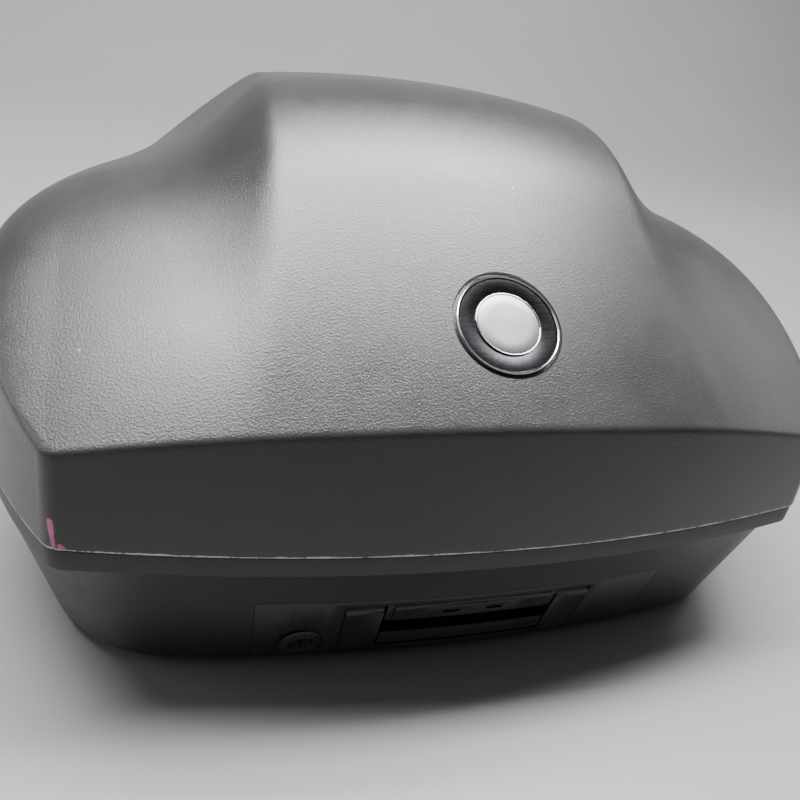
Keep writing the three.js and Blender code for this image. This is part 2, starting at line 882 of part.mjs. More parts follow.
function floorMat(side) {
  const shape = new THREE.Shape();
  const [x0, x1, y0, y1, r] = [83, 196, V(84), V(326), 22];
  shape.moveTo(x0, y0);
  shape.lineTo(x1 - 30 - r, y0);
  shape.quadraticCurveTo(x1 - 30, y0, x1 - 24, y0 + r);
  shape.lineTo(x1, V(190));
  shape.lineTo(x1 - 22, y1 - r);
  shape.quadraticCurveTo(x1 - 28, y1, x1 - 28 - r, y1);
  shape.lineTo(x0, y1);
  const g = new THREE.ExtrudeGeometry(shape, {
    depth: 2.5,
    bevelEnabled: false,
    curveSegments: 6,
  });
  const mat = toSolid(g.translate(0, 0, BASE_Z + WALL + GAP));
  return side > 0 ? mat : mat.mirror([1, 0, 0]);
}

// Webbing strap lying across the floor, over the carrier channel.
const STRAP_V = 215;
const STRAP_WIDTH = 25;
const STRAP_PATH = [
  [-190, 9.9],
  [-100, 9.9],
  [-83, 19.4],
  [83, 19.4],
  [100, 9.9],
  [190, 9.9],
];

function luggageStrap() {
  const shape = new THREE.Shape();
  STRAP_PATH.forEach(([x, z], i) => {
    if (i === 0) shape.moveTo(x, z);
    else shape.lineTo(x, z);
  });
  STRAP_PATH.slice()
    .reverse()
    .forEach(([x, z]) => shape.lineTo(x, z + 1.5));
  const g = new THREE.ExtrudeGeometry(shape, {
    depth: STRAP_WIDTH,
    bevelEnabled: false,
  });
  g.rotateX(Math.PI / 2);
  return toSolid(g.translate(0, V(STRAP_V + STRAP_WIDTH / 2), 0));
}

function strapBuckle() {
  const v0 = STRAP_V - STRAP_WIDTH / 2;
  const v1 = STRAP_V + STRAP_WIDTH / 2;
  const frame = block(18, 62, v0 - 4, v1 + 4, 18.8, 25);
  const tunnel = block(10, 70, v0 - 1, v1 + 1, 18, 21.5);
  const window_ = block(26, 38, v0, v1, 15, 30);
  return cut(frame, tunnel, window_);
}

function strapAnchor(side) {
  const v0 = STRAP_V - 17;
  const v1 = STRAP_V + 17;
  const [a, b] = side > 0 ? [182, 194] : [-194, -182];
  const bridge = block(a, b, v0, v1, 9.7, 15);
  const tunnel = block(a - 5, b + 5, v0 + 3, v1 - 3, 9, 12);
  return cut(bridge, tunnel);
}

// ------------------------------------------------------------------ assembly
const root = new THREE.Group();
const materials = {};

function material(name, color, roughness, metalness) {
  materials[name] = new THREE.MeshStandardMaterial({
    color,
    roughness,
    metalness,
  });
  materials[name].name = name;
}
material("graphite", 0x2c2c2f, 0.5, 0);
material("black", 0x161617, 0.55, 0);
material("steel", 0x9a9c9f, 0.35, 1);
material("chrome", 0xd8dade, 0.12, 1);
material("rubber", 0x101010, 0.9, 0);
material("webbing", 0x1a1a1c, 0.85, 0);
material("silver", 0xb9bcc0, 0.3, 1);

function add(name, solid, slot) {
  const mesh = new THREE.Mesh(toGeometry(solid), materials[slot]);
  mesh.name = name;
  root.add(mesh);
}

const sides = [
  ["left", -1],
  ["right", 1],
];

add("lid_shell", lidShell(), "graphite");
add("badge_body", onBadgeFace(disc(28.5, -2.3, -0.4)), "black");
add("badge_rim", onBadgeFace(washer(28.8, BADGE_R, -2.3, 0.6)), "chrome");
add("badge_ring", onBadgeFace(washer(18.2, 19, -0.1, 0.4)), "chrome");
add("badge_disc", onBadgeFace(disc(17.9, -0.1, 0.2)), "silver");
for (const [name, side] of sides) {
  add(`lid_hinge_${name}`, hingeLeaf(side, true), "steel");
  add(`lid_catch_${name}`, lidCatch(side), "steel");
  add(`tray_hinge_${name}`, hingeLeaf(side, false), "steel");
  add(
    `hinge_pin_${name}`,
    rod(PIN_R, 64, "x", side * HINGE_X, V(HINGE_V), HINGE_Z, 24),
    "steel",
  );
  for (const k of [1, 2]) {
    const x = side * HINGE_X + (k === 1 ? -SCREW_OFFSET : SCREW_OFFSET);
    add(`lid_screw_${name}_${k}`, hingeScrew(x, LID_SCREW_Z), "steel");
    add(`tray_screw_${name}_${k}`, hingeScrew(x, TRAY_SCREW_Z), "steel");
  }
  add(
    `handle_pin_${name}`,
    rod(2, 20, "x", side * 71.5, V(HANDLE_AXIS_V), HANDLE_AXIS_Z, 16),
    "steel",
  );
  add(`carrier_rail_${name}`, carrierRail(side), "steel");
  add(`floor_mat_${name}`, floorMat(side), "rubber");
  add(`strap_anchor_${name}`, strapAnchor(side), "black");
}
add("tray_shell", trayShell(), "black");
add("rim_seal", rimSeal(), "rubber");
add("latch_panel", latchPanel(), "black");
add("recess_tub", recessTub(), "black");
add("carry_handle", carryHandle(), "black");
add("release_lever", releaseLever(), "black");
add(
  "lever_pin",
  rod(1.5, 108, "x", 0, V(LEVER_AXIS_V), LEVER_AXIS_Z, 16),
  "steel",
);
add("push_rod", pushRod(), "steel");
add("release_rocker", releaseRocker(), "steel");
add("rocker_pin", rockerPin(), "steel");
add("rocker_bracket", rockerBracket(), "steel");
add("mount_tongue", mountTongue(), "steel");
add("lock_housing", lockHousing(), "black");
add("lock_plug", lockPlug(), "steel");
add("lock_cam", lockCam(), "steel");
add("latch_bar", latchBar(), "steel");
add("luggage_strap", luggageStrap(), "webbing");
add("strap_buckle", strapBuckle(), "black");
footSpots.forEach(([x, v], i) => {
  add(`foot_${i + 1}`, foot(x, v), "rubber");
});

export default root;
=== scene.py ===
"""Looks of a motorcycle top case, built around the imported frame."""
import math

import bmesh
import bpy
import numpy as np
from mathutils import Matrix, Vector


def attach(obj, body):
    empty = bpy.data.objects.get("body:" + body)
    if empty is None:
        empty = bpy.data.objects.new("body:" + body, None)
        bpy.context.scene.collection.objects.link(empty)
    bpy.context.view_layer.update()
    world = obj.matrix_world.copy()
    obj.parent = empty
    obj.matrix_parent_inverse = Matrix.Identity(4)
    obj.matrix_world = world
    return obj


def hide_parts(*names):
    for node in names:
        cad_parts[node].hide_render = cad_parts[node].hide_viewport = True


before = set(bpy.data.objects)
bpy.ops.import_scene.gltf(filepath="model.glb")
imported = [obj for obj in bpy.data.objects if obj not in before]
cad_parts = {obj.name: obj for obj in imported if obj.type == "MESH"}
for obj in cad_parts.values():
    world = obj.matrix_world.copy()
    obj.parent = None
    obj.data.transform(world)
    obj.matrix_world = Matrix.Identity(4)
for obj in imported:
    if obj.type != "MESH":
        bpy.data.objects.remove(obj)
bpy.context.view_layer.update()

# ------------------------------------------------------------------- sizes
# All in mm, the same as the solids. v is depth from the lid's rear edge.
MM = 0.001
REAR_Y = -197.5
CENTRE_V = 190.0
REAR_BOW = 4.6e-4
HALF_WIDTH = 283.0
WIDEST_V = 185.0
SIDE_BOW = 2.05e-3
FRONT_V = 384.5
FRONT_BOW = 2.2e-4
LID_CORNERS = (5.0, 70.0)
TRAY_CORNERS = (40.0, 70.0)
CREASE_Z = 182.0
SIDE_CREASE_Z = 160.0
CREASE_HALF = 228.0
BAND_INSET = 3.5
REAR_SLOPE = 0.77
STRAIGHT_RUN = 122.0
CURVE_RUN = 110.0
HUMP_HALF = 118.0
HUMP_EDGE, RIDGE_EDGE = 4.5, 9.0
RIDGE_X, RIDGE_RUN, RIDGE_SPREAD, RIDGE_SLOPE, RIDGE_SHARE = 205.0, 10.0, 0.41, 0.5, 0.8
FLANK_SLOPE = 1.02
WING_TOP_Z = 263.0
HUMP_FRONT_V = 215.0
HUMP_CEILING_Z = 332.0
LID_LOW = 105.1
SEAM_Z = 104.5
WALL = 3.6
RIM_LOW = 91.5
RIM_INSET = 0.8
WALL_STEP = 1.6
WALL_TILT = math.radians(14)
TAPERS = (math.tan(WALL_TILT), math.tan(math.radians(16)), math.tan(math.radians(10)))
BASE_Z = 3.0
BASE_RADIUS = 10.0
LEDGE_Z = 96.0
LEDGE_INSET = 10.0
BAY_HALF, BAY_V, BAY_FLOOR_Z, BAY_ROOF_Z = 134.5, 66.0, 8.5, 84.5
CHANNEL_HALF, CHANNEL_V, CHANNEL_Z = 75.0, 72.0, 15.0
PANEL_HALF, PANEL_LOW, PANEL_TOP, PANEL_THICK = 129.5, 10.0, 66.0, 3.0
HANDLE_HALF, HANDLE_LOW, ARM_WIDTH, BAR_TOP = 78.5, 13.4, 22.5, 32.5
HANDLE_THICK, HANDLE_AXIS_Z, ARM_HEAD = 10.0, 54.0, 6.2
LEVER_HALF, LEVER_LOW, LEVER_AXIS_Z, LEVER_HEAD = 50.0, 45.0, 57.0, 3.4
TUB_HALF, TUB_BACK_V = 82.6, 47.5
GAP, EDGE_GAP = 0.3, 0.6
LOCK_X, LOCK_Z = -101.0, 26.0
HINGE_V, HINGE_Z, HINGE_X = 389.5, 104.8, 150.0
KNUCKLE_R, PIN_R = 5.5, 2.5
LEAF_BACK_V, LEAF_THICK = 381.7, 3.0
LID_SCREW_Z, TRAY_SCREW_Z, SCREW_OFFSET, SCREW_R = 126.0, 82.0, 17.0, 2.0
CATCH_X = 94.5
BADGE_V, POCKET_R, POCKET_DEPTH = 52.0, 31.9, 2.6
RAIL_V, ROCKER_V, ROCKER_Z = 42.0, 55.0, 38.0
FOOT_SPOTS = [(-165, 85), (165, 85), (-150, 330), (150, 330)]


def V(v):
    """Distance from the rear edge to the y coordinate."""
    return v + REAR_Y


# ------------------------------------------------------------ shape formulas
def smooth_max(a, b, k):
    h = np.maximum(k - np.abs(a - b), 0) / k
    return np.maximum(a, b) + h * h * k / 4


def smooth_min(a, b, k):
    return -smooth_max(-a, -b, k)


def outline_value(x, v, inset, corners):
    rear = REAR_BOW * x * x + inset[0] - v
    side = np.abs(x) - HALF_WIDTH + SIDE_BOW * (v - WIDEST_V) ** 2 + inset[1]
    front = v - FRONT_V + FRONT_BOW * x * x + inset[2]
    return np.where(
        v < WIDEST_V,
        smooth_max(rear, side, corners[0]),
        smooth_max(front, side, corners[1]),
    )


def even(inset):
    return (inset, inset, inset)


def outline_radius(angle, inset, corners=LID_CORNERS):
    near = np.full(np.shape(angle), 20.0)
    far = np.full(np.shape(angle), 420.0)
    for _ in range(40):
        r = (near + far) / 2
        value = outline_value(
            r * np.cos(angle), CENTRE_V + r * np.sin(angle), inset, corners
        )
        near = np.where(value > 0, near, r)
        far = np.where(value > 0, r, far)
    return near


def rear_face(x, v):
    t = np.maximum(0, v - REAR_BOW * x * x - BAND_INSET)
    bend = np.clip(t - STRAIGHT_RUN, 0, CURVE_RUN)
    rise = REAR_SLOPE * np.minimum(t, STRAIGHT_RUN)
    rise = rise + REAR_SLOPE * bend * (1 - bend / (2 * CURVE_RUN))
    crown = 4.2e-4 + 4.4e-4 * np.minimum(t / 207, 1)
    return CREASE_Z + rise - crown * x * x


def crease_height(x, v):
    side = np.minimum(1, (x / CREASE_HALF) ** 2)
    t = np.clip((v - 20) / 130, 0, 1)
    front = t * t * (3 - 2 * t)
    return SIDE_CREASE_Z + (CREASE_Z - SIDE_CREASE_Z) * (1 - side) * (1 - front)


def wing(x, v):
    base = crease_height(x, v)
    half = HALF_WIDTH - BAND_INSET - SIDE_BOW * (v - WIDEST_V) ** 2
    rear_v = REAR_BOW * x * x + BAND_INSET
    run = np.clip((CENTRE_V - v) / (CENTRE_V - rear_v), 0, 1)
    angle = np.arctan2(v - CENTRE_V, x)
    share = np.hypot(x, v - CENTRE_V) / outline_radius(angle, even(BAND_INSET))
    reach = np.where(v < CENTRE_V, np.abs(x) / half, share)
    rounding = (1 - np.minimum(1, reach) ** 2.6) ** 0.3
    roof = base + (WING_TOP_Z - base) * rounding
    ridge = np.maximum(0, RIDGE_RUN + RIDGE_SPREAD * (RIDGE_X - np.abs(x)))
    ramp = rear_face(x, rear_v + ridge) + RIDGE_SLOPE * (v - rear_v - ridge)
    swell = base + (roof - base) * (1 - run * run)
    return swell + (smooth_min(ramp, roof, 24) - swell) * RIDGE_SHARE


def hump_front(x, v):
    front_v = FRONT_V - BAND_INSET - FRONT_BOW * x * x
    u = np.clip((v - HUMP_FRONT_V) / (front_v - HUMP_FRONT_V), 0, 1)
    drop = HUMP_CEILING_Z - SIDE_CREASE_Z
    return SIDE_CREASE_Z + drop * np.sqrt(1 - u**2.3)


def lid_height(x, v):
    flank = rear_face(HUMP_HALF, v) + FLANK_SLOPE * (HUMP_HALF - np.abs(x))
    sides = smooth_max(wing(x, v), flank, 26)
    away = np.clip((np.abs(x) - HUMP_HALF) / 25, 0, 1)
    top = smooth_min(rear_face(x, v), sides, HUMP_EDGE + (RIDGE_EDGE - HUMP_EDGE) * away)
    return smooth_min(top, hump_front(x, v), 24)


def wall_v(x, z):
    """Depth of the tray's rear wall, with the curve into its base."""
    dip = np.clip((BASE_Z + BASE_RADIUS - z) / BASE_RADIUS, 0, 1)
    curve = BASE_RADIUS * (1 - np.sqrt(1 - dip * dip))
    return WALL_STEP + (RIM_LOW - z) * TAPERS[0] + REAR_BOW * x * x + curve


# --------------------------------------------------------------- mesh tools
def new_object(name, verts, faces):
    """A mesh object from points in mm."""
    mesh = bpy.data.meshes.new(name)
    mesh.from_pydata((np.asarray(verts, float) * MM).tolist(), [], faces)
    mesh.update()
    obj = bpy.data.objects.new(name, mesh)
    bpy.context.scene.collection.objects.link(obj)
    return obj


def strip_faces(a, b, count):
    """Quads between two closed rings of count points that start at a and b."""
    return [
        (a + j, a + (j + 1) % count, b + (j + 1) % count, b + j) for j in range(count)
    ]


def loft(name, rings, close=False):
    """A closed body through rings. A ring of one point is a pole."""
    verts, starts = [], []
    for ring in rings:
        starts.append(len(verts))
        verts.extend(np.atleast_2d(ring).tolist())
    faces = []
    pairs = list(range(len(rings) - 1))
    if close:
        pairs.append(len(rings) - 1)
    for i in pairs:
        k = (i + 1) % len(rings)
        a, b = starts[i], starts[k]
        na, nb = len(np.atleast_2d(rings[i])), len(np.atleast_2d(rings[k]))
        if na == 1:
            faces += [(a, b + (j + 1) % nb, b + j) for j in range(nb)]
        elif nb == 1:
            faces += [(a + j, a + (j + 1) % na, b) for j in range(na)]
        else:
            faces += strip_faces(a, b, na)
    obj = new_object(name, verts, faces)
    fix_normals(obj)
    return obj


def edit(obj):
    mesh = bmesh.new()
    mesh.from_mesh(obj.data)
    return mesh


def put_back(mesh, obj):
    mesh.to_mesh(obj.data)
    mesh.free()
    obj.data.update()


def fix_normals(obj):
    mesh = edit(obj)
    bmesh.ops.recalc_face_normals(mesh, faces=mesh.faces)
    put_back(mesh, obj)


def bake_modifiers(obj):
    graph = bpy.context.evaluated_depsgraph_get()
    done = bpy.data.meshes.new_from_object(obj.evaluated_get(graph))
    old = obj.data
    obj.modifiers.clear()
    obj.data = done
    bpy.data.meshes.remove(old)
    return obj


def boolean(obj, others, operation):
    for other in others:
        modifier = obj.modifiers.new("step", "BOOLEAN")
        modifier.operation = operation
        modifier.object = other
        modifier.solver = "MANIFOLD"
        bake_modifiers(obj)
        bpy.data.objects.remove(other)
    return obj


def cut(obj, *others):
    return boolean(obj, others, "DIFFERENCE")


def join(obj, *others):
    return boolean(obj, others, "UNION")


def meet(obj, *others):
    return boolean(obj, others, "INTERSECT")


def block(x0, x1, v0, v1, z0, z1):
    corners = [(x, V(v), z) for z in (z0, z1) for v in (v0, v1) for x in (x0, x1)]
    faces = [(0, 2, 3, 1), (4, 5, 7, 6), (0, 1, 5, 4), (2, 6, 7, 3), (0, 4, 6, 2), (1, 3, 7, 5)]
    return new_object("block", corners, faces)


def block_pair(x0, x1, *rest):
    return [block(x0, x1, *rest), block(-x1, -x0, *rest)]


def turned(profile, sides=64, place=None):
    """A lathed body round +Z from [radius, height] points, moved by place."""
    angle = np.arange(sides) * 2 * math.pi / sides
    rings = []
    for r, h in profile:
        if r < 1e-6:
            rings.append([(0, 0, h)])
        else:
            rings.append(
                np.column_stack([r * np.cos(angle), r * np.sin(angle), angle * 0 + h])
            )
    closed = profile[0][0] > 1e-6
    obj = loft("turned", rings, close=closed)
    if place is not None:
        obj.data.transform(place)
        obj.data.update()
    return obj


AXIS_TURN = {
    "x": Matrix.Rotation(math.pi / 2, 4, "Y"),
    "y": Matrix.Rotation(-math.pi / 2, 4, "X"),
    "z": Matrix.Identity(4),
}


def at(x, v, z):
    return Matrix.Translation(Vector((x, V(v), z)) * MM)


def rod(radius, length, axis, x, v, z, sides=48, chamfer=0.0):
    """A cylinder centred on a place, with chamfered ends if asked."""
    half, neck = length / 2, radius - chamfer
    profile = [(0, -half), (radius, -half), (radius, half), (0, half)]
    if chamfer:
        profile[1:2] = [(neck, -half), (radius, -half + chamfer)]
        profile[3:4] = [(radius, half - chamfer), (neck, half)]
    return turned(profile, sides, at(x, v, z) @ AXIS_TURN[axis])


def tidy(obj):
    """Merges doubles and flat faces, ready for rounding."""
    mesh = edit(obj)
    bmesh.ops.remove_doubles(mesh, verts=mesh.verts, dist=2e-6)
    bmesh.ops.dissolve_degenerate(mesh, edges=mesh.edges, dist=2e-6)
    bmesh.ops.dissolve_limit(
        mesh, angle_limit=math.radians(0.6), verts=mesh.verts, edges=mesh.edges
    )
    put_back(mesh, obj)


ROUNDING_ANGLE = math.radians(32)


def rounded(obj, width, segments=2):
    """Rounds the sharp edges by a width in mm."""
    tidy(obj)
    modifier = obj.modifiers.new("round", "BEVEL")
    modifier.width = width * MM
    modifier.segments = segments
    modifier.limit_method = "ANGLE"
    modifier.angle_limit = ROUNDING_ANGLE
    modifier.use_clamp_overlap = True
    return bake_modifiers(obj)


def finish_piece(obj, name, body, material, nodes, sharp=38):
    """Names a piece, shades it and hangs it on its body."""
    obj.name = name
    obj.data.name = name
    obj.data.shade_smooth()
    obj.data.set_sharp_from_angle(angle=math.radians(sharp))
    obj.data.materials.clear()
    obj.data.materials.append(material)
    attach(obj, body)
    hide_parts(*nodes)
    return obj


# ---------------------------------------------------------------- materials
class Tree:
    """Short ways to add nodes to one material or world."""

    def __init__(self, tree, coordinates="Object"):
        self.tree = tree
        self.coordinates = self.node("TexCoord").outputs[coordinates]

    def place(self, value, socket):
        if isinstance(value, bpy.types.NodeSocket):
            self.tree.links.new(value, socket)
        else:
            socket.default_value = value

    def node(self, kind, **inputs):
        node = self.tree.nodes.new("ShaderNode" + kind)
        for key, value in inputs.items():
            self.place(value, node.inputs[key.replace("_", " ")])
        return node

    def math(self, operation, *values):
        node = self.node("Math")
        node.operation = operation
        for value, socket in zip(values, node.inputs):
            self.place(value, socket)
        return node.outputs[0]

    def weighted(self, *terms):
        """Sum of (value, weight) pairs."""
        parts = [self.math("MULTIPLY", value, weight) for value, weight in terms]
        total = parts[0]
        for part in parts[1:]:
            total = self.math("ADD", total, part)
        return total

    def noise(self, scale, detail=4.0, roughness=0.55, source=None):
        vector = source or self.coordinates
        return self.node(
            "TexNoise", Scale=scale, Detail=detail, Roughness=roughness, Vector=vector
        ).outputs["Fac"]

    def cells(self, scale, feature="SMOOTH_F1"):
        node = self.node("TexVoronoi", Scale=scale, Vector=self.coordinates)
        node.feature = feature
        return node.outputs["Distance"]

    def ramp(self, value, low, high, out_low=0.0, out_high=1.0):
        node = self.node(
            "MapRange", From_Min=low, From_Max=high, To_Min=out_low, To_Max=out_high, Value=value
        )
        node.interpolation_type = "SMOOTHSTEP"
        return node.outputs["Result"]

    def mix(self, share, a, b):
        node = self.node("Mix")
        node.data_type = "RGBA"
        self.place(share, node.inputs[0])
        for value, socket in ((a, node.inputs[6]), (b, node.inputs[7])):
            self.place((*value, 1.0) if isinstance(value, tuple) else value, socket)
        return node.outputs[2]

    def bump(self, height, distance, strength):
        node = self.node("Bump", Height=height, Distance=distance, Strength=strength)
        return node.outputs["Normal"]

    def split(self):
        return self.node("SeparateXYZ", Vector=self.coordinates).outputs[:]


def shader(name, **sockets):
    material = bpy.data.materials.new(name)
    material.use_nodes = True
    surface = material.node_tree.nodes["Principled BSDF"]
    for key, value in sockets.items():
        surface.inputs[key.replace("_", " ")].default_value = value
    return material, Tree(material.node_tree), surface


def dress(t, surface, colour, gloss, normal):
    """Joins the three results to the surface."""
    for value, socket in ((colour, "Base Color"), (gloss, "Roughness"), (normal, "Normal")):
        t.place(value, surface.inputs[socket])


def moulded_plastic(name, dark, light, rough, grain, depth, wear=None):
    """Grained moulded plastic: cells with a noise, slow colour and gloss changes."""
    material, t, surface = shader(name, IOR=1.5)
    clouds = t.noise(9.0, 5.0, 0.6)
    patches = t.noise(55.0, 4.0, 0.6)
    fine = t.noise(1400.0, 2.0, 0.5)
    pits = t.noise(grain * 1.7, 3.0, 0.6)
    height = t.weighted((t.cells(grain), 0.65), (pits, 0.55))
    tone = t.weighted((clouds, 0.6), (patches, 0.25), (fine, 0.15))
    colour = t.mix(t.ramp(tone, 0.35, 0.68), dark, light)
    gloss = t.ramp(tone, 0.3, 0.7, rough - 0.035, rough + 0.045)
    if wear:
        colour, gloss = wear(t, colour, gloss)
    dress(t, surface, colour, gloss, t.bump(height, depth, 1.0))
    return material


def segment_distance(t, a, b):
    """Distance in metres from the surface point to the segment a-b, in mm."""
    a, b = Vector(a) * MM, Vector(b) * MM
    length = (b - a).length
    direction = (b - a) / length
    offset = [t.math("SUBTRACT", c, o) for c, o in zip(t.split(), a)]
    dot = t.math("MULTIPLY", offset[0], direction.x)
    dot = t.math("MULTIPLY_ADD", offset[1], direction.y, dot)
    dot = t.math("MULTIPLY_ADD", offset[2], direction.z, dot)
    run = t.math("MINIMUM", t.math("MAXIMUM", dot, 0.0), length)
    squares = [
        t.math("POWER", t.math("SUBTRACT", c, t.math("MULTIPLY", run, d)), 2.0)
        for c, d in zip(offset, direction)
    ]
    return t.math("SQRT", t.math("ADD", t.math("ADD", squares[0], squares[1]), squares[2]))


SCUFF_GREY = (0.62, 0.6, 0.57)
SCUFF_SLACK = 0.0008  # metres the scuffed band reaches below the lid's edge
PAINT_TRACE = (0.55, 0.13, 0.32)
PAINT_MARKS = [
    ((-228.2, -171.9, 121.5), (-227.5, -172.2, 115), 1.9),
    ((-227.5, -172.2, 115), (-226.8, -172.6, 106.5), 1.5),
    ((-224.0, -173.9, 108), (-221.5, -174.9, 105), 1.6),
]


def lid_wear(t, colour, gloss):
    """Rubbed-white lower edge with nicks, stray specks and a trace of paint."""
    _, y, z = t.split()
    long_noise = t.noise(60.0, 5.0, 0.65)
    tear = t.noise(420.0, 4.0, 0.7)
    reach = t.math("MULTIPLY_ADD", long_noise, 0.0032, LID_LOW * MM - SCUFF_SLACK)
    band = t.ramp(t.math("SUBTRACT", z, reach), 0.0001, 0.0009, 1.0, 0.0)
    broken = t.ramp(t.weighted((tear, 0.7), (long_noise, 0.5)), 0.46, 0.58)
    rear = t.ramp(y, V(60) * MM, V(110) * MM, 1.0, 0.25)
    scuff = t.math("MULTIPLY", t.math("MULTIPLY", band, broken), rear)
    specks = t.ramp(t.cells(70.0, "F1"), 0.045, 0.06, 1.0, 0.0)
    rare = t.ramp(t.noise(24.0, 2.0), 0.64, 0.67)
    stray = t.math("MULTIPLY", t.math("MULTIPLY", specks, rare), 0.3)
    colour = t.mix(t.math("MAXIMUM", scuff, stray), colour, SCUFF_GREY)
    for a, b, width in PAINT_MARKS:
        distance = t.math("SUBTRACT", segment_distance(t, a, b), 0.0008)
        ragged = t.math("MULTIPLY_ADD", tear, 0.0016, distance)
        mark = t.ramp(ragged, width * MM * 0.7, width * MM, 0.85, 0.0)
        colour = t.mix(mark, colour, PAINT_TRACE)
    return colour, t.math("MULTIPLY_ADD", scuff, 0.3, gloss)


def metal(name, colour, rough, brush, spread=0.12, bump=0.00001):
    """Metal with fine lines along x, and slow changes of gloss."""
    material, t, surface = shader(name, Metallic=1.0)
    stretched = t.node("Mapping", Vector=t.coordinates, Scale=(0.04, 1, 1)).outputs[0]
    lines = t.noise(brush, 3.0, 0.6, stretched)
    blend = t.weighted((lines, 0.6), (t.noise(140.0, 4.0, 0.6), 0.4))
    darker = tuple(c * 0.72 for c in colour)
    tint = t.mix(t.ramp(blend, 0.3, 0.7), darker, colour)
    gloss = t.ramp(blend, 0.3, 0.7, rough + spread, rough)
    dress(t, surface, tint, gloss, t.bump(lines, bump, 0.6))
    return material


def spun_metal(name, colour, rough, pitch):
    """Metal turned round the piece's own Z axis: fine rings that catch the light."""
    material, t, surface = shader(name, Metallic=1.0)
    x, y, _ = t.split()
    square = t.math("ADD", t.math("POWER", x, 2.0), t.math("POWER", y, 2.0))
    rings = t.math("SINE", t.math("MULTIPLY", t.math("SQRT", square), 2 * math.pi / pitch))
    wander = t.noise(600.0, 4.0, 0.65)
    mixed = t.math("ADD", t.math("MULTIPLY", rings, 0.35), wander)
    darker = tuple(c * 0.8 for c in colour)
    tint = t.mix(t.ramp(mixed, 0.2, 0.9), darker, colour)
    gloss = t.ramp(mixed, 0.2, 0.9, rough + 0.1, rough)
    dress(t, surface, tint, gloss, t.bump(rings, 0.000012, 0.5))
    return material


def rubber(name, tone, grain):
    material, t, surface = shader(name, IOR=1.45)
    dust = t.noise(45.0, 5.0, 0.65)
    light = tuple(c * 2.0 for c in tone)
    tint = t.mix(t.ramp(dust, 0.4, 0.75), tone, light)
    pits = t.bump(t.noise(grain, 3.0, 0.6), 0.00012, 0.7)
    dress(t, surface, tint, t.ramp(dust, 0.3, 0.7, 0.7, 0.88), pits)
    return material


def woven(name, tone, pitch):
    """Webbing: ribs across and yarns along, in the strap's own x and y, with painted shade in the
    dips between the yarns.
    """
    material, t, surface = shader(name, IOR=1.45, Sheen_Weight=0.25, Sheen_Roughness=0.5)
    x, y, _ = t.split()
    ribs = t.math("SINE", t.math("MULTIPLY", x, 2 * math.pi / pitch))
    yarns = t.math("SINE", t.math("MULTIPLY", y, 2 * math.pi / (pitch * 0.8)))
    fibres = t.noise(2600.0, 3.0, 0.7)
    height = t.weighted((t.math("MULTIPLY", ribs, yarns), 0.5), (fibres, 0.5))
    # the colour follows the weave's bump height: painted shade in the dips between the yarns,
    # lighter on their crests
    light = tuple(c * 2.6 for c in tone)
    tint = t.mix(t.ramp(height, -0.3, 0.9), tone, light)
    dress(t, surface, tint, t.ramp(fibres, 0.3, 0.7, 0.75, 0.95), t.bump(height, 0.0003, 0.9))
    return material


LID_PLASTIC = moulded_plastic(
    "graphite_grained", (0.017, 0.017, 0.018), (0.027, 0.027, 0.028), 0.3, 1050.0, 0.0002, lid_wear
)
TRAY_PLASTIC = moulded_plastic(
    "black_moulded", (0.013, 0.013, 0.014), (0.021, 0.021, 0.022), 0.46, 1400.0, 0.00006
)
TRIM_PLASTIC = moulded_plastic(
    "black_trim", (0.011, 0.011, 0.012), (0.018, 0.018, 0.019), 0.44, 1500.0, 0.00005
)
RUBBER = rubber("rubber", (0.011, 0.011, 0.011), 900.0)
MAT_RUBBER = rubber("mat_rubber", (0.014, 0.014, 0.014), 500.0)
ZINC = metal("zinc_plated", (0.62, 0.63, 0.65), 0.3, 900.0)
STEEL = metal("turned_steel", (0.58, 0.59, 0.6), 0.24, 1400.0, 0.1)
DARK_STEEL = metal("dark_steel", (0.07, 0.07, 0.074), 0.42, 1200.0, 0.1)
CHROME = metal("chrome", (0.86, 0.87, 0.89), 0.08, 500.0, 0.07, 0.000002)
BADGE_BLACK = metal("brushed_black", (0.022, 0.022, 0.024), 0.22, 1500.0, 0.1, 0.00002)
SPUN = spun_metal("spun_silver", (0.27, 0.275, 0.285), 0.33, 0.0006)
WEBBING = woven("webbing", (0.014, 0.014, 0.015), 0.0018)


# --------------------------------------------------------------- lid's shell
BOX_FIT_X, BOX_FIT_Z = 0.9995, 0.9978  # keep the lid inside the solids' box
SIDE_CELLS = 104  # half the cells along each side of the plan grid
CORNER_PULL = 0.82  # how strongly the columns gather at the plan's corners
REAR_CORNER_ANGLE = math.radians(-33.5)
FRONT_CORNER_ANGLE = math.radians(38)


def column_angles(k):
    """Angles of ring k of the plan grid: 2k columns on each of four sides."""
    rear, front = REAR_CORNER_ANGLE, FRONT_CORNER_ANGLE
    ends = [rear, front, math.pi - front, math.pi - rear, 2 * math.pi + rear]
    u = -1 + np.arange(2 * k) / k
    w = u * (1 - CORNER_PULL) + CORNER_PULL * np.sin(math.pi * u / 2)
    return np.concatenate([(a + b) / 2 + (b - a) / 2 * w for a, b in zip(ends, ends[1:])])


def ring_share(k, cells):
    """Share of the outline's radius at ring k: the rings gather at the edge."""
    t = k / cells
    return 1.13 * t - 0.13 * t**8


def grid_faces(cells, flip=False):
    """Quads of a square grid stored as a centre and rings of 8k points."""
    def index(k, column):
        return 0 if k == 0 else 1 + 4 * k * (k - 1) + column % (8 * k)

    faces = []
    for k in range(1, cells + 1):
        for side in range(4):
            base, inner = side * 2 * k, side * 2 * (k - 1)
            corner = [index(k, base + m) for m in (-1, 0, 1)]
            faces.append((*corner, index(k - 1, inner)))
            for m in range(1, 2 * k - 1):
                outer = (index(k, base + m), index(k, base + m + 1))
                faces.append((*outer, index(k - 1, inner + m), index(k - 1, inner + m - 1)))
    return [f[::-1] for f in faces] if flip else faces


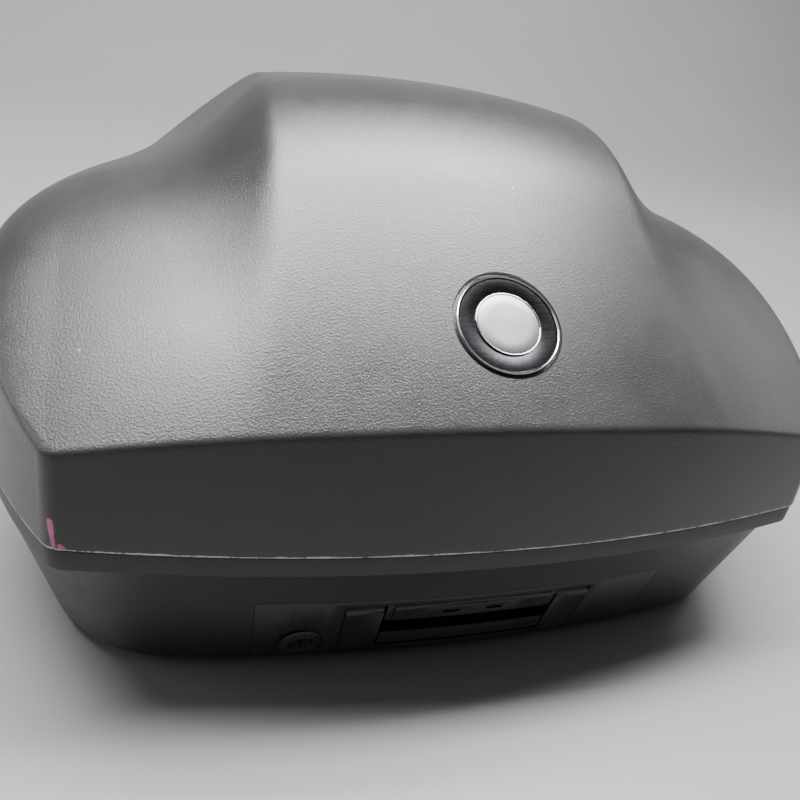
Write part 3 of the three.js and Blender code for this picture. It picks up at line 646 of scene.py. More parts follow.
def grid_points(cells, edge, height):
    """Grid points inside an edge ring of 8*cells points, with their heights."""
    points = [np.array([[0.0, CENTRE_V]])]
    edge_angle = np.unwrap(np.arctan2(edge[:, 1] - CENTRE_V, edge[:, 0]))
    edge_radius = np.hypot(edge[:, 0], edge[:, 1] - CENTRE_V)
    start = edge_angle[0]
    for k in range(1, cells):
        angle = column_angles(k)
        wrapped = start + np.mod(angle - start, 2 * math.pi)
        radius = np.interp(
            wrapped,
            np.append(edge_angle, start + 2 * math.pi),
            np.append(edge_radius, edge_radius[0]),
        )
        radius = radius * ring_share(k, cells)
        points.append(
            np.column_stack([radius * np.cos(angle), CENTRE_V + radius * np.sin(angle)])
        )
    plan = np.concatenate(points)
    return np.column_stack([plan, height(plan[:, 0], plan[:, 1])])


def ring_at(angle, inset, z, corners=LID_CORNERS):
    """Points [x, v, z] on the outline pulled in by inset."""
    r = outline_radius(angle, inset, corners)
    x, v = r * np.cos(angle), CENTRE_V + r * np.sin(angle)
    z = z(x, v) if callable(z) else z + 0 * x
    return np.column_stack([x, v, z])


CREASE_STEP = 0.7  # mm between rings beside the crease
CREASE_RINGS = 14  # rings on each side of it
CREASE_BLUR = 15


def crease_profile(angle):
    """Rings from the top surface over the softened crease down the band."""
    offsets = [24, 20, 16, 13, 11, 9, 7.5, 6, 5, 4, 3.2, 2.5, 1.9, 1.4, 1, 0.7]
    offsets += [0.45, 0.25, 0.12, 0.05, 0.015, 0.004, 0]
    top = [ring_at(angle, even(BAND_INSET + o), lid_height) for o in offsets]
    low = ring_at(angle, even(0.0), LID_LOW + 1.1)
    crease = top[-1]
    band = [crease + (low - crease) * t for t in np.linspace(0, 1, 40)[1:]]
    line = np.stack(top + band)
    steps = np.linalg.norm(np.diff(line, axis=0), axis=2)
    length = np.vstack([np.zeros(len(angle)), np.cumsum(steps, axis=0)])
    bend = length[len(top) - 1]
    near = np.arange(-CREASE_RINGS, CREASE_RINGS + 1) * CREASE_STEP
    rings = []
    for column in range(len(angle)):
        below = np.linspace(bend[column] + near[-1], length[-1, column], 14)[1:]
        wanted = np.concatenate([bend[column] + near, below])
        rings.append(
            np.column_stack(
                [np.interp(wanted, length[:, column], line[:, column, i]) for i in range(3)]
            )
        )
    rings = np.stack(rings, axis=1)
    window = slice(0, 2 * CREASE_RINGS + 1)
    soft = rings[window].copy()
    for _ in range(CREASE_BLUR):
        soft[1:-1] = soft[:-2] * 0.25 + soft[1:-1] * 0.5 + soft[2:] * 0.25
    rings[window] = soft
    return rings


def lid_body():
    """The lid's closed shell: fine outside, half as fine inside."""
    cells, inner_cells = SIDE_CELLS, SIDE_CELLS // 2
    angle = column_angles(cells)
    count = 8 * cells
    profile = crease_profile(angle)
    grid = grid_points(cells, profile[0], lid_height)
    lip = [
        ring_at(angle, even(0.06), LID_LOW + 0.55),
        ring_at(angle, even(0.28), LID_LOW + 0.2),
        ring_at(angle, even(0.75), LID_LOW),
        ring_at(angle, even(3.2), LID_LOW),
        ring_at(angle, even(3.9), LID_LOW + 0.4),
    ]
    even_columns = np.arange(0, count, 2)
    shrink = 1 - WALL / 190
    rim = ring_at(angle[even_columns], even(4.0), LID_LOW + 1.5)
    edge = ring_at(angle[even_columns], even(BAND_INSET), lid_height)

    def inside(points):
        moved = points.copy()
        moved[:, 0] *= shrink
        moved[:, 1] = CENTRE_V + (moved[:, 1] - CENTRE_V) * shrink
        moved[:, 2] -= WALL
        return moved

    inner_grid = inside(grid_points(inner_cells, edge, lid_height))
    inner_edge = inside(edge)
    halfway = rim * 0.45 + inner_edge * 0.55
    parts = [grid, *profile, *lip, rim, halfway, inner_edge, inner_grid]
    starts = np.cumsum([0] + [len(p) for p in parts])
    faces = grid_faces(cells)
    full_rings = 1 + len(profile) + len(lip)
    for r in range(1, full_rings - 1):
        a, b = starts[r], starts[r + 1]
        faces += strip_faces(b, a, count)
    a, b = starts[full_rings - 1], starts[full_rings]
    half = count // 2
    for j in range(half):
        k = (j + 1) % half
        faces.append((b + j, b + k, a + 2 * j + 1))
        faces.append((b + j, a + 2 * j + 1, a + 2 * j))
        faces.append((b + k, a + (2 * j + 2) % count, a + 2 * j + 1))
    for r in (full_rings, full_rings + 1):
        a, b = starts[r], starts[r + 1]
        faces += strip_faces(b, a, half)
    edge_start, grid_start, inner = *starts[full_rings + 2 : full_rings + 4], len(inner_grid)
    for face in grid_faces(inner_cells, flip=True):
        faces.append(tuple(i + (grid_start if i < inner else edge_start - inner) for i in face))
    verts = np.concatenate(parts)
    verts[:, 0] *= BOX_FIT_X
    verts[:, 1] += REAR_Y
    verts[:, 2] = LID_LOW + (verts[:, 2] - LID_LOW) * BOX_FIT_Z
    obj = new_object("lid_shell_skin", verts, faces)
    fix_normals(obj)
    return obj


FACE_TILT = math.atan(REAR_SLOPE)
BADGE_PLACE = at(0, BADGE_V, float(lid_height(np.array(0.0), np.array(BADGE_V)))) @ Matrix.Rotation(
    FACE_TILT, 4, "X"
)


def hinge_holes(side, z):
    return [
        rod(SCREW_R + 0.3, 14, "y", side * HINGE_X + k * SCREW_OFFSET, LEAF_BACK_V, z, 24)
        for k in (-1, 1)
    ]


def build_lid():
    lid = lid_body()
    extras = []
    for side in (-1, 1):
        x = side * HINGE_X
        extras.append(block(x - 26, x + 26, 375, LEAF_BACK_V - GAP, 111.5, 138))
        x = side * CATCH_X
        extras.append(block(x - 9, x + 9, 6.5, 10.5, 108, 127))
    boss = [(0, -POCKET_DEPTH - 4), (POCKET_R + 4, -POCKET_DEPTH - 4), (POCKET_R + 4, -1), (0, -1)]
    extras.append(turned(boss, 96, BADGE_PLACE))
    join(lid, *extras)
    pocket = [
        (0, -POCKET_DEPTH),
        (POCKET_R - 0.5, -POCKET_DEPTH),
        (POCKET_R, -POCKET_DEPTH + 0.5),
        (POCKET_R, -1.3),
        (POCKET_R + 0.35, -0.75),
        (POCKET_R + 1.9, 0.9),
        (POCKET_R + 1.9, 8),
        (0, 8),
    ]
    cut(
        lid,
        turned(pocket, 144, BADGE_PLACE),
        *hinge_holes(-1, LID_SCREW_Z),
        *hinge_holes(1, LID_SCREW_Z),
    )
    return finish_piece(lid, "lid_moulding", "lid", LID_PLASTIC, ["lid_shell"])


# -------------------------------------------------------------- tray's shell
TRAY_COLUMNS = column_angles(56)


def tray_inset(z, extra):
    drop = RIM_LOW - z
    return tuple(WALL_STEP + drop * taper + extra for taper in TAPERS)


def tray_ring(inset, z):
    ring = ring_at(TRAY_COLUMNS, inset, z, TRAY_CORNERS)
    ring[:, 1] += REAR_Y
    return ring


def lid_ring(inset, z):
    ring = ring_at(TRAY_COLUMNS, even(inset), z)
    ring[:, 1] += REAR_Y
    return ring


def tray_rings(extra, base_z, top):
    rings = [tray_ring(tray_inset(base_z, extra + BASE_RADIUS), base_z)]
    for degrees in (75, 60, 45, 33, 22, 11, 0):
        a = math.radians(degrees)
        z = base_z + BASE_RADIUS * (1 - math.sin(a))
        step = BASE_RADIUS * (1 - math.cos(a))
        rings.append(tray_ring(tray_inset(z, extra + step), z))
    for share in (0.33, 0.66, 1):
        z = base_z + BASE_RADIUS + (top - base_z - BASE_RADIUS) * share
        rings.append(tray_ring(tray_inset(z, extra), z))
    return rings


def tray_solid(extra):
    pole = [(0, V(CENTRE_V), BASE_Z + extra)]
    top = [(0, V(CENTRE_V), SEAM_Z)]
    rings = tray_rings(extra, BASE_Z + extra, RIM_LOW - 0.5)
    rim = RIM_INSET + extra
    return loft(
        "tray",
        [
            pole,
            *rings,
            tray_ring(tray_inset(RIM_LOW, extra - 0.2), RIM_LOW),
            *[lid_ring(rim + i, RIM_LOW + z) for i, z in ((0.35, 0.35), (0.05, 0.75), (0, 1.3))],
            *[lid_ring(rim + i, SEAM_Z - z) for i, z in ((0, 1.0), (0.15, 0.35), (0.6, 0))],
            top,
        ],
    )


def tray_cavity():
    pole = [(0, V(CENTRE_V), BASE_Z + WALL)]
    rings = tray_rings(WALL, BASE_Z + WALL, RIM_LOW - 6)
    return loft(
        "cavity",
        [
            pole,
            *rings,
            lid_ring(LEDGE_INSET, RIM_LOW),
            lid_ring(LEDGE_INSET, LEDGE_Z - 0.4),
            lid_ring(LEDGE_INSET - 0.4, LEDGE_Z),
            lid_ring(RIM_INSET + WALL, LEDGE_Z + 0.05),
            lid_ring(RIM_INSET + WALL, SEAM_Z - 0.5),
            lid_ring(RIM_INSET + WALL - 0.5, SEAM_Z + 0.1),
            lid_ring(RIM_INSET + WALL - 0.5, SEAM_Z + 5),
            [(0, V(CENTRE_V), SEAM_Z + 5)],
        ],
    )


def rounded_block(width, segments, *limits):
    return rounded(block(*limits), width, segments)


SKIN = 3.5  # wall over the bay and over the channel
TONGUE_SLOT = (-12.6, 12.6, 60, 80, 8.9, 13.3)
PAD_TRIM = (-260, 260, 330, 400, 60, 110)  # where the hinge pads may not fill the hollow


def build_tray():
    tray = tray_solid(0)
    bay, channel = BAY_HALF + SKIN, CHANNEL_HALF + SKIN
    interior = cut(
        tray_cavity(),
        rounded_block(3, 4, -bay, bay, -20, BAY_V + SKIN, -20, BAY_ROOF_Z + SKIN),
        rounded_block(3, 4, -channel, channel, BAY_V - 4, 430, -20, CHANNEL_Z + SKIN),
    )
    room = meet(tray_cavity(), block(-BAY_HALF, BAY_HALF, 0, BAY_V, BAY_FLOOR_Z, BAY_ROOF_Z))
    cut(tray, interior, room)
    guides = join(
        block(50, 60, RAIL_V - 2, RAIL_V + 6, 72, BAY_ROOF_Z + 1),
        block(-60, -50, RAIL_V - 2, RAIL_V + 6, 72, BAY_ROOF_Z + 1),
    )
    cut(guides, *block_pair(45, 65, RAIL_V - 0.3, RAIL_V + 4.3, 73.7, 81.3))
    pads = [
        block(s * HINGE_X - 33, s * HINGE_X + 33, 368, LEAF_BACK_V - GAP, 69, 97.5)
        for s in (-1, 1)
    ]
    join(tray, guides, *pads)
    cut(
        tray,
        block(-PANEL_HALF - GAP, PANEL_HALF + GAP, -5, 45, PANEL_LOW - GAP, PANEL_TOP + GAP),
        block(-CHANNEL_HALF, CHANNEL_HALF, CHANNEL_V, 420, -5, CHANNEL_Z),
        *[
            block(s * CATCH_X - 8, s * CATCH_X + 8, 15, 36, BAY_ROOF_Z - 1, BAY_ROOF_Z + 6)
            for s in (-1, 1)
        ],
        block(*TONGUE_SLOT),
        meet(tray_cavity(), block(*PAD_TRIM)),
        *hinge_holes(-1, TRAY_SCREW_Z),
        *hinge_holes(1, TRAY_SCREW_Z),
        *[rod(3.3, 3, "z", x, v, BASE_Z + 1, 24) for x, v in FOOT_SPOTS],
    )
    return finish_piece(tray, "tray_moulding", "tray", TRAY_PLASTIC, ["tray_shell"])


def build_seal():
    """Rubber seal on the ledge: a soft bead with a groove beside it."""
    z = LEDGE_Z + GAP
    section = [
        (4.9, z), (4.9, 103.9), (5.1, 105.0), (5.6, 106.0), (6.3, 106.7), (6.9, 106.9),
        (7.5, 106.7), (8.2, 106.0), (8.7, 105.0), (8.9, 103.9), (8.9, 101.5),
        (8.3, 101.1), (8.3, 100.5), (8.9, 100.1), (8.9, z),
    ]
    seal = loft("seal", [lid_ring(i, h) for i, h in section], close=True)
    return finish_piece(seal, "rim_seal_bead", "tray", RUBBER, ["rim_seal"])


# ----------------------------------------------------- panel, handle, lever
def wall_slab(x0, x1, z0, z1, back, front=0.0, step=2.5):
    """A slab that follows the rear wall, from front to back mm behind it."""
    nx = max(2, round((x1 - x0) / step) + 1)
    nz = max(2, round((z1 - z0) / step) + 1)
    xs, zs = np.linspace(x0, x1, nx), np.linspace(z0, z1, nz)
    gx, gz = np.meshgrid(xs, zs)
    face = V(wall_v(gx, gz))
    layers = [
        np.column_stack([gx.ravel(), (face + depth).ravel(), gz.ravel()])
        for depth in (front, back)
    ]
    n = nx * nz
    faces = []
    for j in range(nz - 1):
        for i in range(nx - 1):
            a = j * nx + i
            faces.append((a, a + 1, a + nx + 1, a + nx))
            faces.append((n + a, n + a + nx, n + a + nx + 1, n + a + 1))
    border = list(range(nx))
    border += [j * nx + nx - 1 for j in range(1, nz)]
    border += [(nz - 1) * nx + i for i in range(nx - 2, -1, -1)]
    border += [j * nx for j in range(nz - 2, 0, -1)]
    for a, b in zip(border, border[1:] + border[:1]):
        faces.append((a, n + a, n + b, b))
    obj = new_object("slab", np.concatenate(layers), faces)
    fix_normals(obj)
    return obj


def lock_rod(radius, out, deep, sides=64):
    """A cylinder along the wall's normal at the lock, from out to deep."""
    profile = [(0, out), (radius, out), (radius, deep), (0, deep)]
    return turned(profile, sides, LOCK_PLACE)


LOCK_PLACE = (
    at(LOCK_X, float(wall_v(LOCK_X, LOCK_Z)), LOCK_Z)
    @ Matrix.Rotation(WALL_TILT, 4, "X")
    @ AXIS_TURN["y"]
)
HANDLE_AXIS_V = float(wall_v(HANDLE_HALF - ARM_WIDTH / 2, HANDLE_AXIS_Z)) + ARM_HEAD
LEVER_AXIS_V = float(wall_v(34.0, LEVER_AXIS_Z)) + LEVER_HEAD


def build_panel():
    half = HANDLE_HALF + EDGE_GAP
    panel = wall_slab(-PANEL_HALF, PANEL_HALF, PANEL_LOW, PANEL_TOP, PANEL_THICK)
    cut(
        panel,
        block(-half, half, -5, 60, HANDLE_LOW - EDGE_GAP, HANDLE_AXIS_Z + ARM_HEAD + EDGE_GAP),
        lock_rod(10.9, -8, 40),
        lock_rod(13, -8, -0.05),
    )
    rounded(panel, 0.45)
    return finish_piece(panel, "latch_panel_cover", "tray", TRIM_PLASTIC, ["latch_panel"])


def build_tub():
    back = TUB_BACK_V
    tub = block(-TUB_HALF, TUB_HALF, 0, back, PANEL_LOW, PANEL_TOP)
    meet(tub, wall_slab(-TUB_HALF - 5, TUB_HALF + 5, 5, 70, 80, PANEL_THICK + GAP))
    hollow = rounded_block(
        3, 4, -HANDLE_HALF - EDGE_GAP, HANDLE_HALF + EDGE_GAP, -20, back - 2.5,
        HANDLE_LOW - EDGE_GAP, PANEL_TOP - 1.6,
    )
    cut(tub, hollow)
    for post in block_pair(LEVER_HALF + 0.4, LEVER_HALF + 4.4, 5, back - 1, LEVER_LOW, 60.4):
        meet(post, wall_slab(-70, 70, 30, 66, 80, 0.6))
        join(tub, post)
    cut(
        tub,
        rod(2.15, 400, "x", 0, HANDLE_AXIS_V, HANDLE_AXIS_Z, 32),
        rod(1.6, 400, "x", 0, LEVER_AXIS_V, LEVER_AXIS_Z, 32),
        block(-4.6, 4.6, 12.6, 50, 62.6, 70),
    )
    rounded(tub, 0.3)
    return finish_piece(tub, "handle_tub", "tray", TRIM_PLASTIC, ["recess_tub"])


def build_handle():
    """Carry handle: two flat arms, a rounded grip bar and a lip under it."""
    half, arm = HANDLE_HALF, ARM_WIDTH
    handle = wall_slab(-half, half, HANDLE_LOW, HANDLE_AXIS_Z, HANDLE_THICK, step=2.0)
    cut(handle, block(-half + arm, half - arm, -5, 60, BAR_TOP, HANDLE_AXIS_Z + 5))
    meet(handle, rod(40.6, 200, "x", 0, HANDLE_AXIS_V, HANDLE_AXIS_Z, 128))
    grooves = [
        wall_slab(-half + arm, half - arm, 17.6, 20.2, 2.4, -3, 2.0),
        *[
            wall_slab(min(a, b), max(a, b), 17.6, BAR_TOP + 3, 1.6, -3, 1.0)
            for a, b in ((-half + arm, -half + arm + 1.6), (half - arm - 1.6, half - arm))
        ],
    ]
    cut(handle, *grooves)
    heads = [
        rod(ARM_HEAD, arm, "x", s * (half - arm / 2), HANDLE_AXIS_V, HANDLE_AXIS_Z, 64)
        for s in (-1, 1)
    ]
    join(handle, *heads)
    cut(
        handle,
        rod(2.15, 60, "x", 86.5, HANDLE_AXIS_V, HANDLE_AXIS_Z, 32),
        rod(2.15, 60, "x", -86.5, HANDLE_AXIS_V, HANDLE_AXIS_Z, 32),
    )
    rounded(handle, 0.8, 3)
    finish_piece(
        handle, "carry_handle_grip", "handle", TRIM_PLASTIC, ["carry_handle"]
    )


def build_lever():
    lever = wall_slab(-LEVER_HALF, LEVER_HALF, LEVER_LOW, LEVER_AXIS_Z, 5, step=2.0)
    for x in (-14, 14):
        cut(lever, wall_slab(x - 5, x + 5, 49, 52, 2.4, -3, 1.0))
    join(
        lever,
        rod(LEVER_HEAD, 2 * LEVER_HALF, "x", 0, LEVER_AXIS_V, LEVER_AXIS_Z, 48),
        block(-4, 4, LEVER_AXIS_V, LEVER_AXIS_V + 4, 56, 67.8),
    )
    cut(lever, rod(1.6, 400, "x", 0, LEVER_AXIS_V, LEVER_AXIS_Z, 32))
    rounded(lever, 0.4)
    finish_piece(
        lever, "release_lever_paddle", "lever", TRIM_PLASTIC, ["release_lever"]
    )


# ------------------------------------------------------------------- badge
def build_badge():
    body = [(0, -2.3), (28.1, -2.3), (28.5, -2.0), (28.5, -0.75), (28.1, -0.4)]
    body += [(19.6, -0.36), (19.4, -0.45), (0, -0.45)]
    rim = [(28.8, -2.3), (30, -2.3), (30, -0.1), (29.9, 0.25), (29.65, 0.5), (29.4, 0.6)]
    rim += [(29.15, 0.5), (28.9, 0.2), (28.8, -0.2)]
    ring = [(18.2, -0.1), (19, -0.1), (19, 0.2), (18.85, 0.36), (18.6, 0.4)]
    ring += [(18.35, 0.36), (18.2, 0.2)]
    face = [(0, -0.1), (17.9, -0.1), (17.9, 0.08), (17.7, 0.16), (12, 0.18), (6, 0.2), (0, 0.2)]
    for profile, name, material, slot, node in (
        (body, "badge_field", BADGE_BLACK, "badge_black", "badge_body"),
        (rim, "badge_bezel", CHROME, "chrome", "badge_rim"),
        (ring, "badge_inner_ring", CHROME, "chrome", "badge_ring"),
        (face, "badge_centre", SPUN, "silver", "badge_disc"),
    ):
        piece = turned(profile, 192)
        piece.matrix_world = BADGE_PLACE
        finish_piece(piece, name, "lid", material, [node])


# ------------------------------------------------------------------ hinges
def hinge_leaf(side, is_lid):
    x = side * HINGE_X
    half = 24 if is_lid else 31
    low, high = (112, 137) if is_lid else (70, 98)
    leaf = block(x - half, x + half, LEAF_BACK_V, LEAF_BACK_V + LEAF_THICK, low, high)
    corners = edit(leaf)
    upright = [
        e
        for e in corners.edges
        if abs(e.verts[0].co.y - e.verts[1].co.y) > 1e-4
        and ((e.verts[0].co.z > 0.11) == is_lid)
        and abs(e.verts[0].co.z - (high if is_lid else low) * MM) < 1e-4
    ]
    bmesh.ops.bevel(corners, geom=upright, offset=5 * MM, segments=8, profile=0.5, affect="EDGES")
    put_back(corners, leaf)
    for a, b in [(-11.4, 11.4)] if is_lid else [(-31, -11.8), (11.8, 31)]:
        low, high = (HINGE_Z, 113) if is_lid else (97, HINGE_Z)
        join(
            leaf,
            block(x + a, x + b, LEAF_BACK_V, HINGE_V, low, high),
            rod(KNUCKLE_R, b - a, "x", x + (a + b) / 2, HINGE_V, HINGE_Z, 64),
        )
    screw_z = LID_SCREW_Z if is_lid else TRAY_SCREW_Z
    cut(
        leaf,
        rod(PIN_R + 0.1, 80, "x", x, HINGE_V, HINGE_Z, 48),
        *hinge_holes(side, screw_z),
    )
    return rounded(leaf, 0.35)


def screw(x, z):
    """Pan-head screw with a cross recess."""
    head_v = LEAF_BACK_V + LEAF_THICK + GAP
    profile = [(0, -9.5), (SCREW_R - 0.5, -9.5), (SCREW_R, -9.0), (SCREW_R, 0), (4.3, 0)]
    profile += [(4.4, 0.15), (4.38, 0.8), (4.2, 1.2), (3.7, 1.7), (3, 2.1), (1.6, 2.33), (0, 2.4)]
    obj = turned(profile, 48, at(x, head_v, z) @ AXIS_TURN["y"])
    cut(
        obj,
        block(x - 2.2, x + 2.2, head_v + 1.0, head_v + 4, z - 0.4, z + 0.4),
        block(x - 0.4, x + 0.4, head_v + 1.0, head_v + 4, z - 2.2, z + 2.2),
    )
    return obj


def build_hinges():
    for name, side in (("left", -1), ("right", 1)):
        for is_lid, word in ((True, "lid"), (False, "tray")):
            finish_piece(
                hinge_leaf(side, is_lid), f"{word}_hinge_leaf_{name}", word, ZINC,
                [f"{word}_hinge_{name}"],
            )
            z = LID_SCREW_Z if is_lid else TRAY_SCREW_Z
            for k in (1, 2):
                x = side * HINGE_X + (-SCREW_OFFSET if k == 1 else SCREW_OFFSET)
                finish_piece(
                    screw(x, z), f"{word}_pan_screw_{name}_{k}", word, STEEL,
                    [f"{word}_screw_{name}_{k}"],
                )
        pin = rod(PIN_R, 64, "x", side * HINGE_X, HINGE_V, HINGE_Z, 48, 0.5)
        finish_piece(pin, f"hinge_axle_{name}", "tray", STEEL, [f"hinge_pin_{name}"])


# --------------------------------------------------------------- mechanism
def plated(obj, name, body, node, width=0.4):
    """A zinc-plated part with softly rounded edges."""
    finish_piece(rounded(obj, width), name, body, ZINC, [node])


def build_catches():
    for name, side in (("left", -1), ("right", 1)):
        x = side * CATCH_X
        catch = join(
            block(x - 8, x + 8, 10.8, 14, 109, 126),
            block(x - 1.5, x + 1.5, 13.5, 32, 109, 116),
            block(x - 1.5, x + 1.5, 19.5, 32, 70, 110),
        )
        cut(catch, block(x - 5, x + 5, 22, 29, 73, 80))
        plated(catch, f"catch_hook_{name}", "lid", f"lid_catch_{name}", 0.35)
        pin = rod(2, 20, "x", side * 71.5, HANDLE_AXIS_V, HANDLE_AXIS_Z, 32, 0.4)
        finish_piece(pin, f"handle_axle_{name}", "tray", STEEL, [f"handle_pin_{name}"])


def prism(first, last):
    """A closed body between two matching outlines."""
    n = len(first)
    faces = [tuple(range(n)), tuple(range(n, 2 * n))]
    faces += [(i, (i + 1) % n, n + (i + 1) % n, n + i) for i in range(n)]
    obj = new_object("prism", [*first, *last], faces)
    fix_normals(obj)
    return obj


def build_mechanism():
    bar = block(-4, 4, LEVER_AXIS_V + 4.4, ROCKER_V - 3.4, 63.2, 67.6)
    plated(bar, "push_rod_bar", "push_rod", "push_rod", 0.5)
    rocker = join(
        block(-8, 8, ROCKER_V - 3, ROCKER_V + 3, 9.6, 68),
        rod(6, 16, "x", 0, ROCKER_V, ROCKER_Z, 48),
    )
    cut(rocker, rod(2.1, 40, "x", 0, ROCKER_V, ROCKER_Z, 32))
    plated(rocker, "rocker_plate", "rocker", "release_rocker", 0.5)
    pin = rod(2, 33.4, "x", 0, ROCKER_V, ROCKER_Z, 32, 0.4)
    finish_piece(pin, "rocker_axle", "tray", STEEL, ["rocker_pin"])
    bracket = join(
        block(-17, 17, BAY_V - 3.3, BAY_V - GAP, 27, 49),
        *block_pair(9, 12.5, ROCKER_V - 5, BAY_V - 1, 31, 45),
    )
    cut(bracket, rod(2.1, 60, "x", 0, ROCKER_V, ROCKER_Z, 32))
    plated(bracket, "rocker_fork", "tray", "rocker_bracket")
    start = ROCKER_V + 3.8
    side = [(start, 9.4), (82, 9.4), (82, 10.2), (79.2, 12.8), (start, 12.8)]
    tongue = prism(*([(x, V(v), z) for v, z in side] for x in (-12, 12)))
    plated(tongue, "tongue_bolt", "tongue", "mount_tongue")
    bar = block(-112, 96, RAIL_V, RAIL_V + 4, 74, 81)
    for x in (-CATCH_X - 11, CATCH_X - 11):
        join(
            bar,
            block(x - 5, x - 1, 23, RAIL_V + 1, 74.5, 78.5),
            block(x - 5, x + 7, 23.01, 27.6, 74.51, 78.49),
        )
    join(bar, block(LOCK_X - 8, LOCK_X + 8, RAIL_V + 0.01, 48.6, 74.01, 80.99))
    for x in (-6.4, 6.4):
        join(bar, block(LOCK_X + x - 2, LOCK_X + x + 2, 46, 48.59, 29.5, 75))
    plated(bar, "latch_slide_bar", "latch_bar", "latch_bar")
    pin = rod(1.5, 108, "x", 0, LEVER_AXIS_V, LEVER_AXIS_Z, 32, 0.3)
    finish_piece(pin, "lever_axle", "tray", STEEL, ["lever_pin"])


def lock_block(w, h, d, y, z=0.0):
    """A box in the lock's frame, w wide, h deep along its axis and d high."""
    obj = block(-w / 2, w / 2, -REAR_Y + y - h / 2, -REAR_Y + y + h / 2, z - d / 2, z + d / 2)
    place = at(LOCK_X, float(wall_v(LOCK_X, LOCK_Z)), LOCK_Z) @ Matrix.Rotation(WALL_TILT, 4, "X")
    obj.data.transform(place)
    return obj


def build_lock():
    housing = turned(
        [
            (7.1, -1.0), (7.5, -1.4), (11.9, -1.4), (12.6, -0.95), (12.6, -0.35),
            (10.6, -0.35), (10.6, 19.6), (10.2, 20), (7.1, 20),
        ],
        96,
        LOCK_PLACE,
    )
    finish_piece(housing, "lock_bezel", "tray", TRIM_PLASTIC, ["lock_housing"])
    profile = [(0, -1.05), (4.6, -1.05), (5.0, -1.2), (6.4, -1.2), (6.8, -0.8)]
    profile += [(6.8, 20.0), (6.4, 20.4), (0, 20.4)]
    plug = turned(profile, 96, LOCK_PLACE)
    cut(plug, lock_block(1.5, 6, 8, -1))
    finish_piece(plug, "lock_barrel", "lock", DARK_STEEL, ["lock_plug"])
    cam = lock_block(10, 2.4, 18, 22, 4)
    crank = turned(
        [(0, 21.5), (1.6, 21.5), (1.6, 31.2), (1.3, 31.5), (0, 31.5)],
        32,
        LOCK_PLACE @ Matrix.Translation((0, -0.009, 0)),
    )
    join(cam, crank)
    plated(cam, "lock_crank", "lock", "lock_cam", 0.3)


# ------------------------------------------------------------ inside, below
STRAP_V, STRAP_WIDTH, STRAP_THICK = 215.0, 25.0, 1.5
STRAP_PATH = [(-190, 9.9), (-100, 9.9), (-83, 19.4), (83, 19.4), (100, 9.9), (190, 9.9)]


def curve(start, middle, end, count):
    """Points of a quadratic curve."""
    a, b, c = (np.array(p, float) for p in (start, middle, end))
    return [(1 - t) ** 2 * a + 2 * t * (1 - t) * b + t * t * c for t in np.linspace(0, 1, count)]


def soft_path(points, radius):
    """The path with its corners rounded by quadratic curves."""
    points = [np.array(p, float) for p in points]
    line = [points[0]]
    for a, b, c in zip(points, points[1:], points[2:]):
        start = b + (a - b) / np.linalg.norm(a - b) * radius
        end = b + (c - b) / np.linalg.norm(c - b) * radius
        line += curve(start, b, end, 8)
    line.append(points[-1])
    return np.array(line)


def resample(line, step):
    length = np.concatenate([[0], np.cumsum(np.linalg.norm(np.diff(line, axis=0), axis=1))])
    count = max(2, round(length[-1] / step) + 1)
    wanted = np.linspace(0, length[-1], count)
    return np.column_stack([np.interp(wanted, length, line[:, i]) for i in range(2)]), length[-1]


def build_strap():
    """Flat webbing, ribbed across, with rolled selvedges."""
    middle = [(x, z + STRAP_THICK / 2) for x, z in STRAP_PATH]
    line, length = resample(soft_path(middle, 9), 1.0)
    direction = np.gradient(line, axis=0)
    direction /= np.linalg.norm(direction, axis=1)[:, None]
    normal = np.column_stack([-direction[:, 1], direction[:, 0]])
    across_points = np.linspace(-1, 1, 15)
    rings = []
    for p, n in zip(line, normal):
        ring = []
        for sign in (1, -1):
            for u in across_points * sign:
                edge = max(0, (abs(u) - 0.86) / 0.14)
                depth = STRAP_THICK / 2 * 0.93 * math.sqrt(max(0.0, 1 - edge * edge) * 0.9 + 0.1)
                v = STRAP_V + u * STRAP_WIDTH / 2
                q = p + n * depth * sign * 0.98
                ring.append((q[0], V(v), q[1]))
        rings.append(ring)
    count = len(rings[0])
    verts = [p for ring in rings for p in ring]
    faces = []
    for i in range(len(rings) - 1):
        faces += strip_faces(i * count, (i + 1) * count, count)
    last = (len(rings) - 1) * count
    half = count // 2
    for j in range(half - 1):
        faces.append((j, j + 1, count - 2 - j, count - 1 - j))
        faces.append((last + j, last + count - 1 - j, last + count - 2 - j, last + j + 1))
    strap = new_object("strap", verts, faces)
    fix_normals(strap)
    finish_piece(strap, "luggage_strap_webbing", "tray", WEBBING, ["luggage_strap"], 60)
    return strap, length


def build_mat(name, side):
    x0, x1, v0, v1, r = 83.0, 196.0, 84.0, 326.0, 22.0
    outline = [(x0, v0), (x1 - 30 - r, v0)]
    outline += curve((x1 - 30 - r, v0), (x1 - 30, v0), (x1 - 24, v0 + r), 10)[1:]
    outline += [(x1, 190), (x1 - 22, v1 - r)]
    outline += curve((x1 - 22, v1 - r), (x1 - 28, v1), (x1 - 28 - r, v1), 10)[1:]
    outline += [(x0, v1)]
    z0 = BASE_Z + WALL + GAP
    mat = prism(*([(side * x, V(v), z) for x, v in outline] for z in (z0, z0 + 2.5)))
    grooves = []
    for v in range(96, 320, 8):
        reach = 158.0 if v < 110 or v > 300 else 166.0
        a, b = sorted((side * 90.0, side * reach))
        grooves.append(block(a, b, v - 0.8, v + 0.8, z0 + 1.8, z0 + 4))
    cut(mat, *grooves)
    rounded(mat, 0.3, 1)
    finish_piece(
        mat, f"floor_mat_ribbed_{name}", "tray", MAT_RUBBER, [f"floor_mat_{name}"]
    )


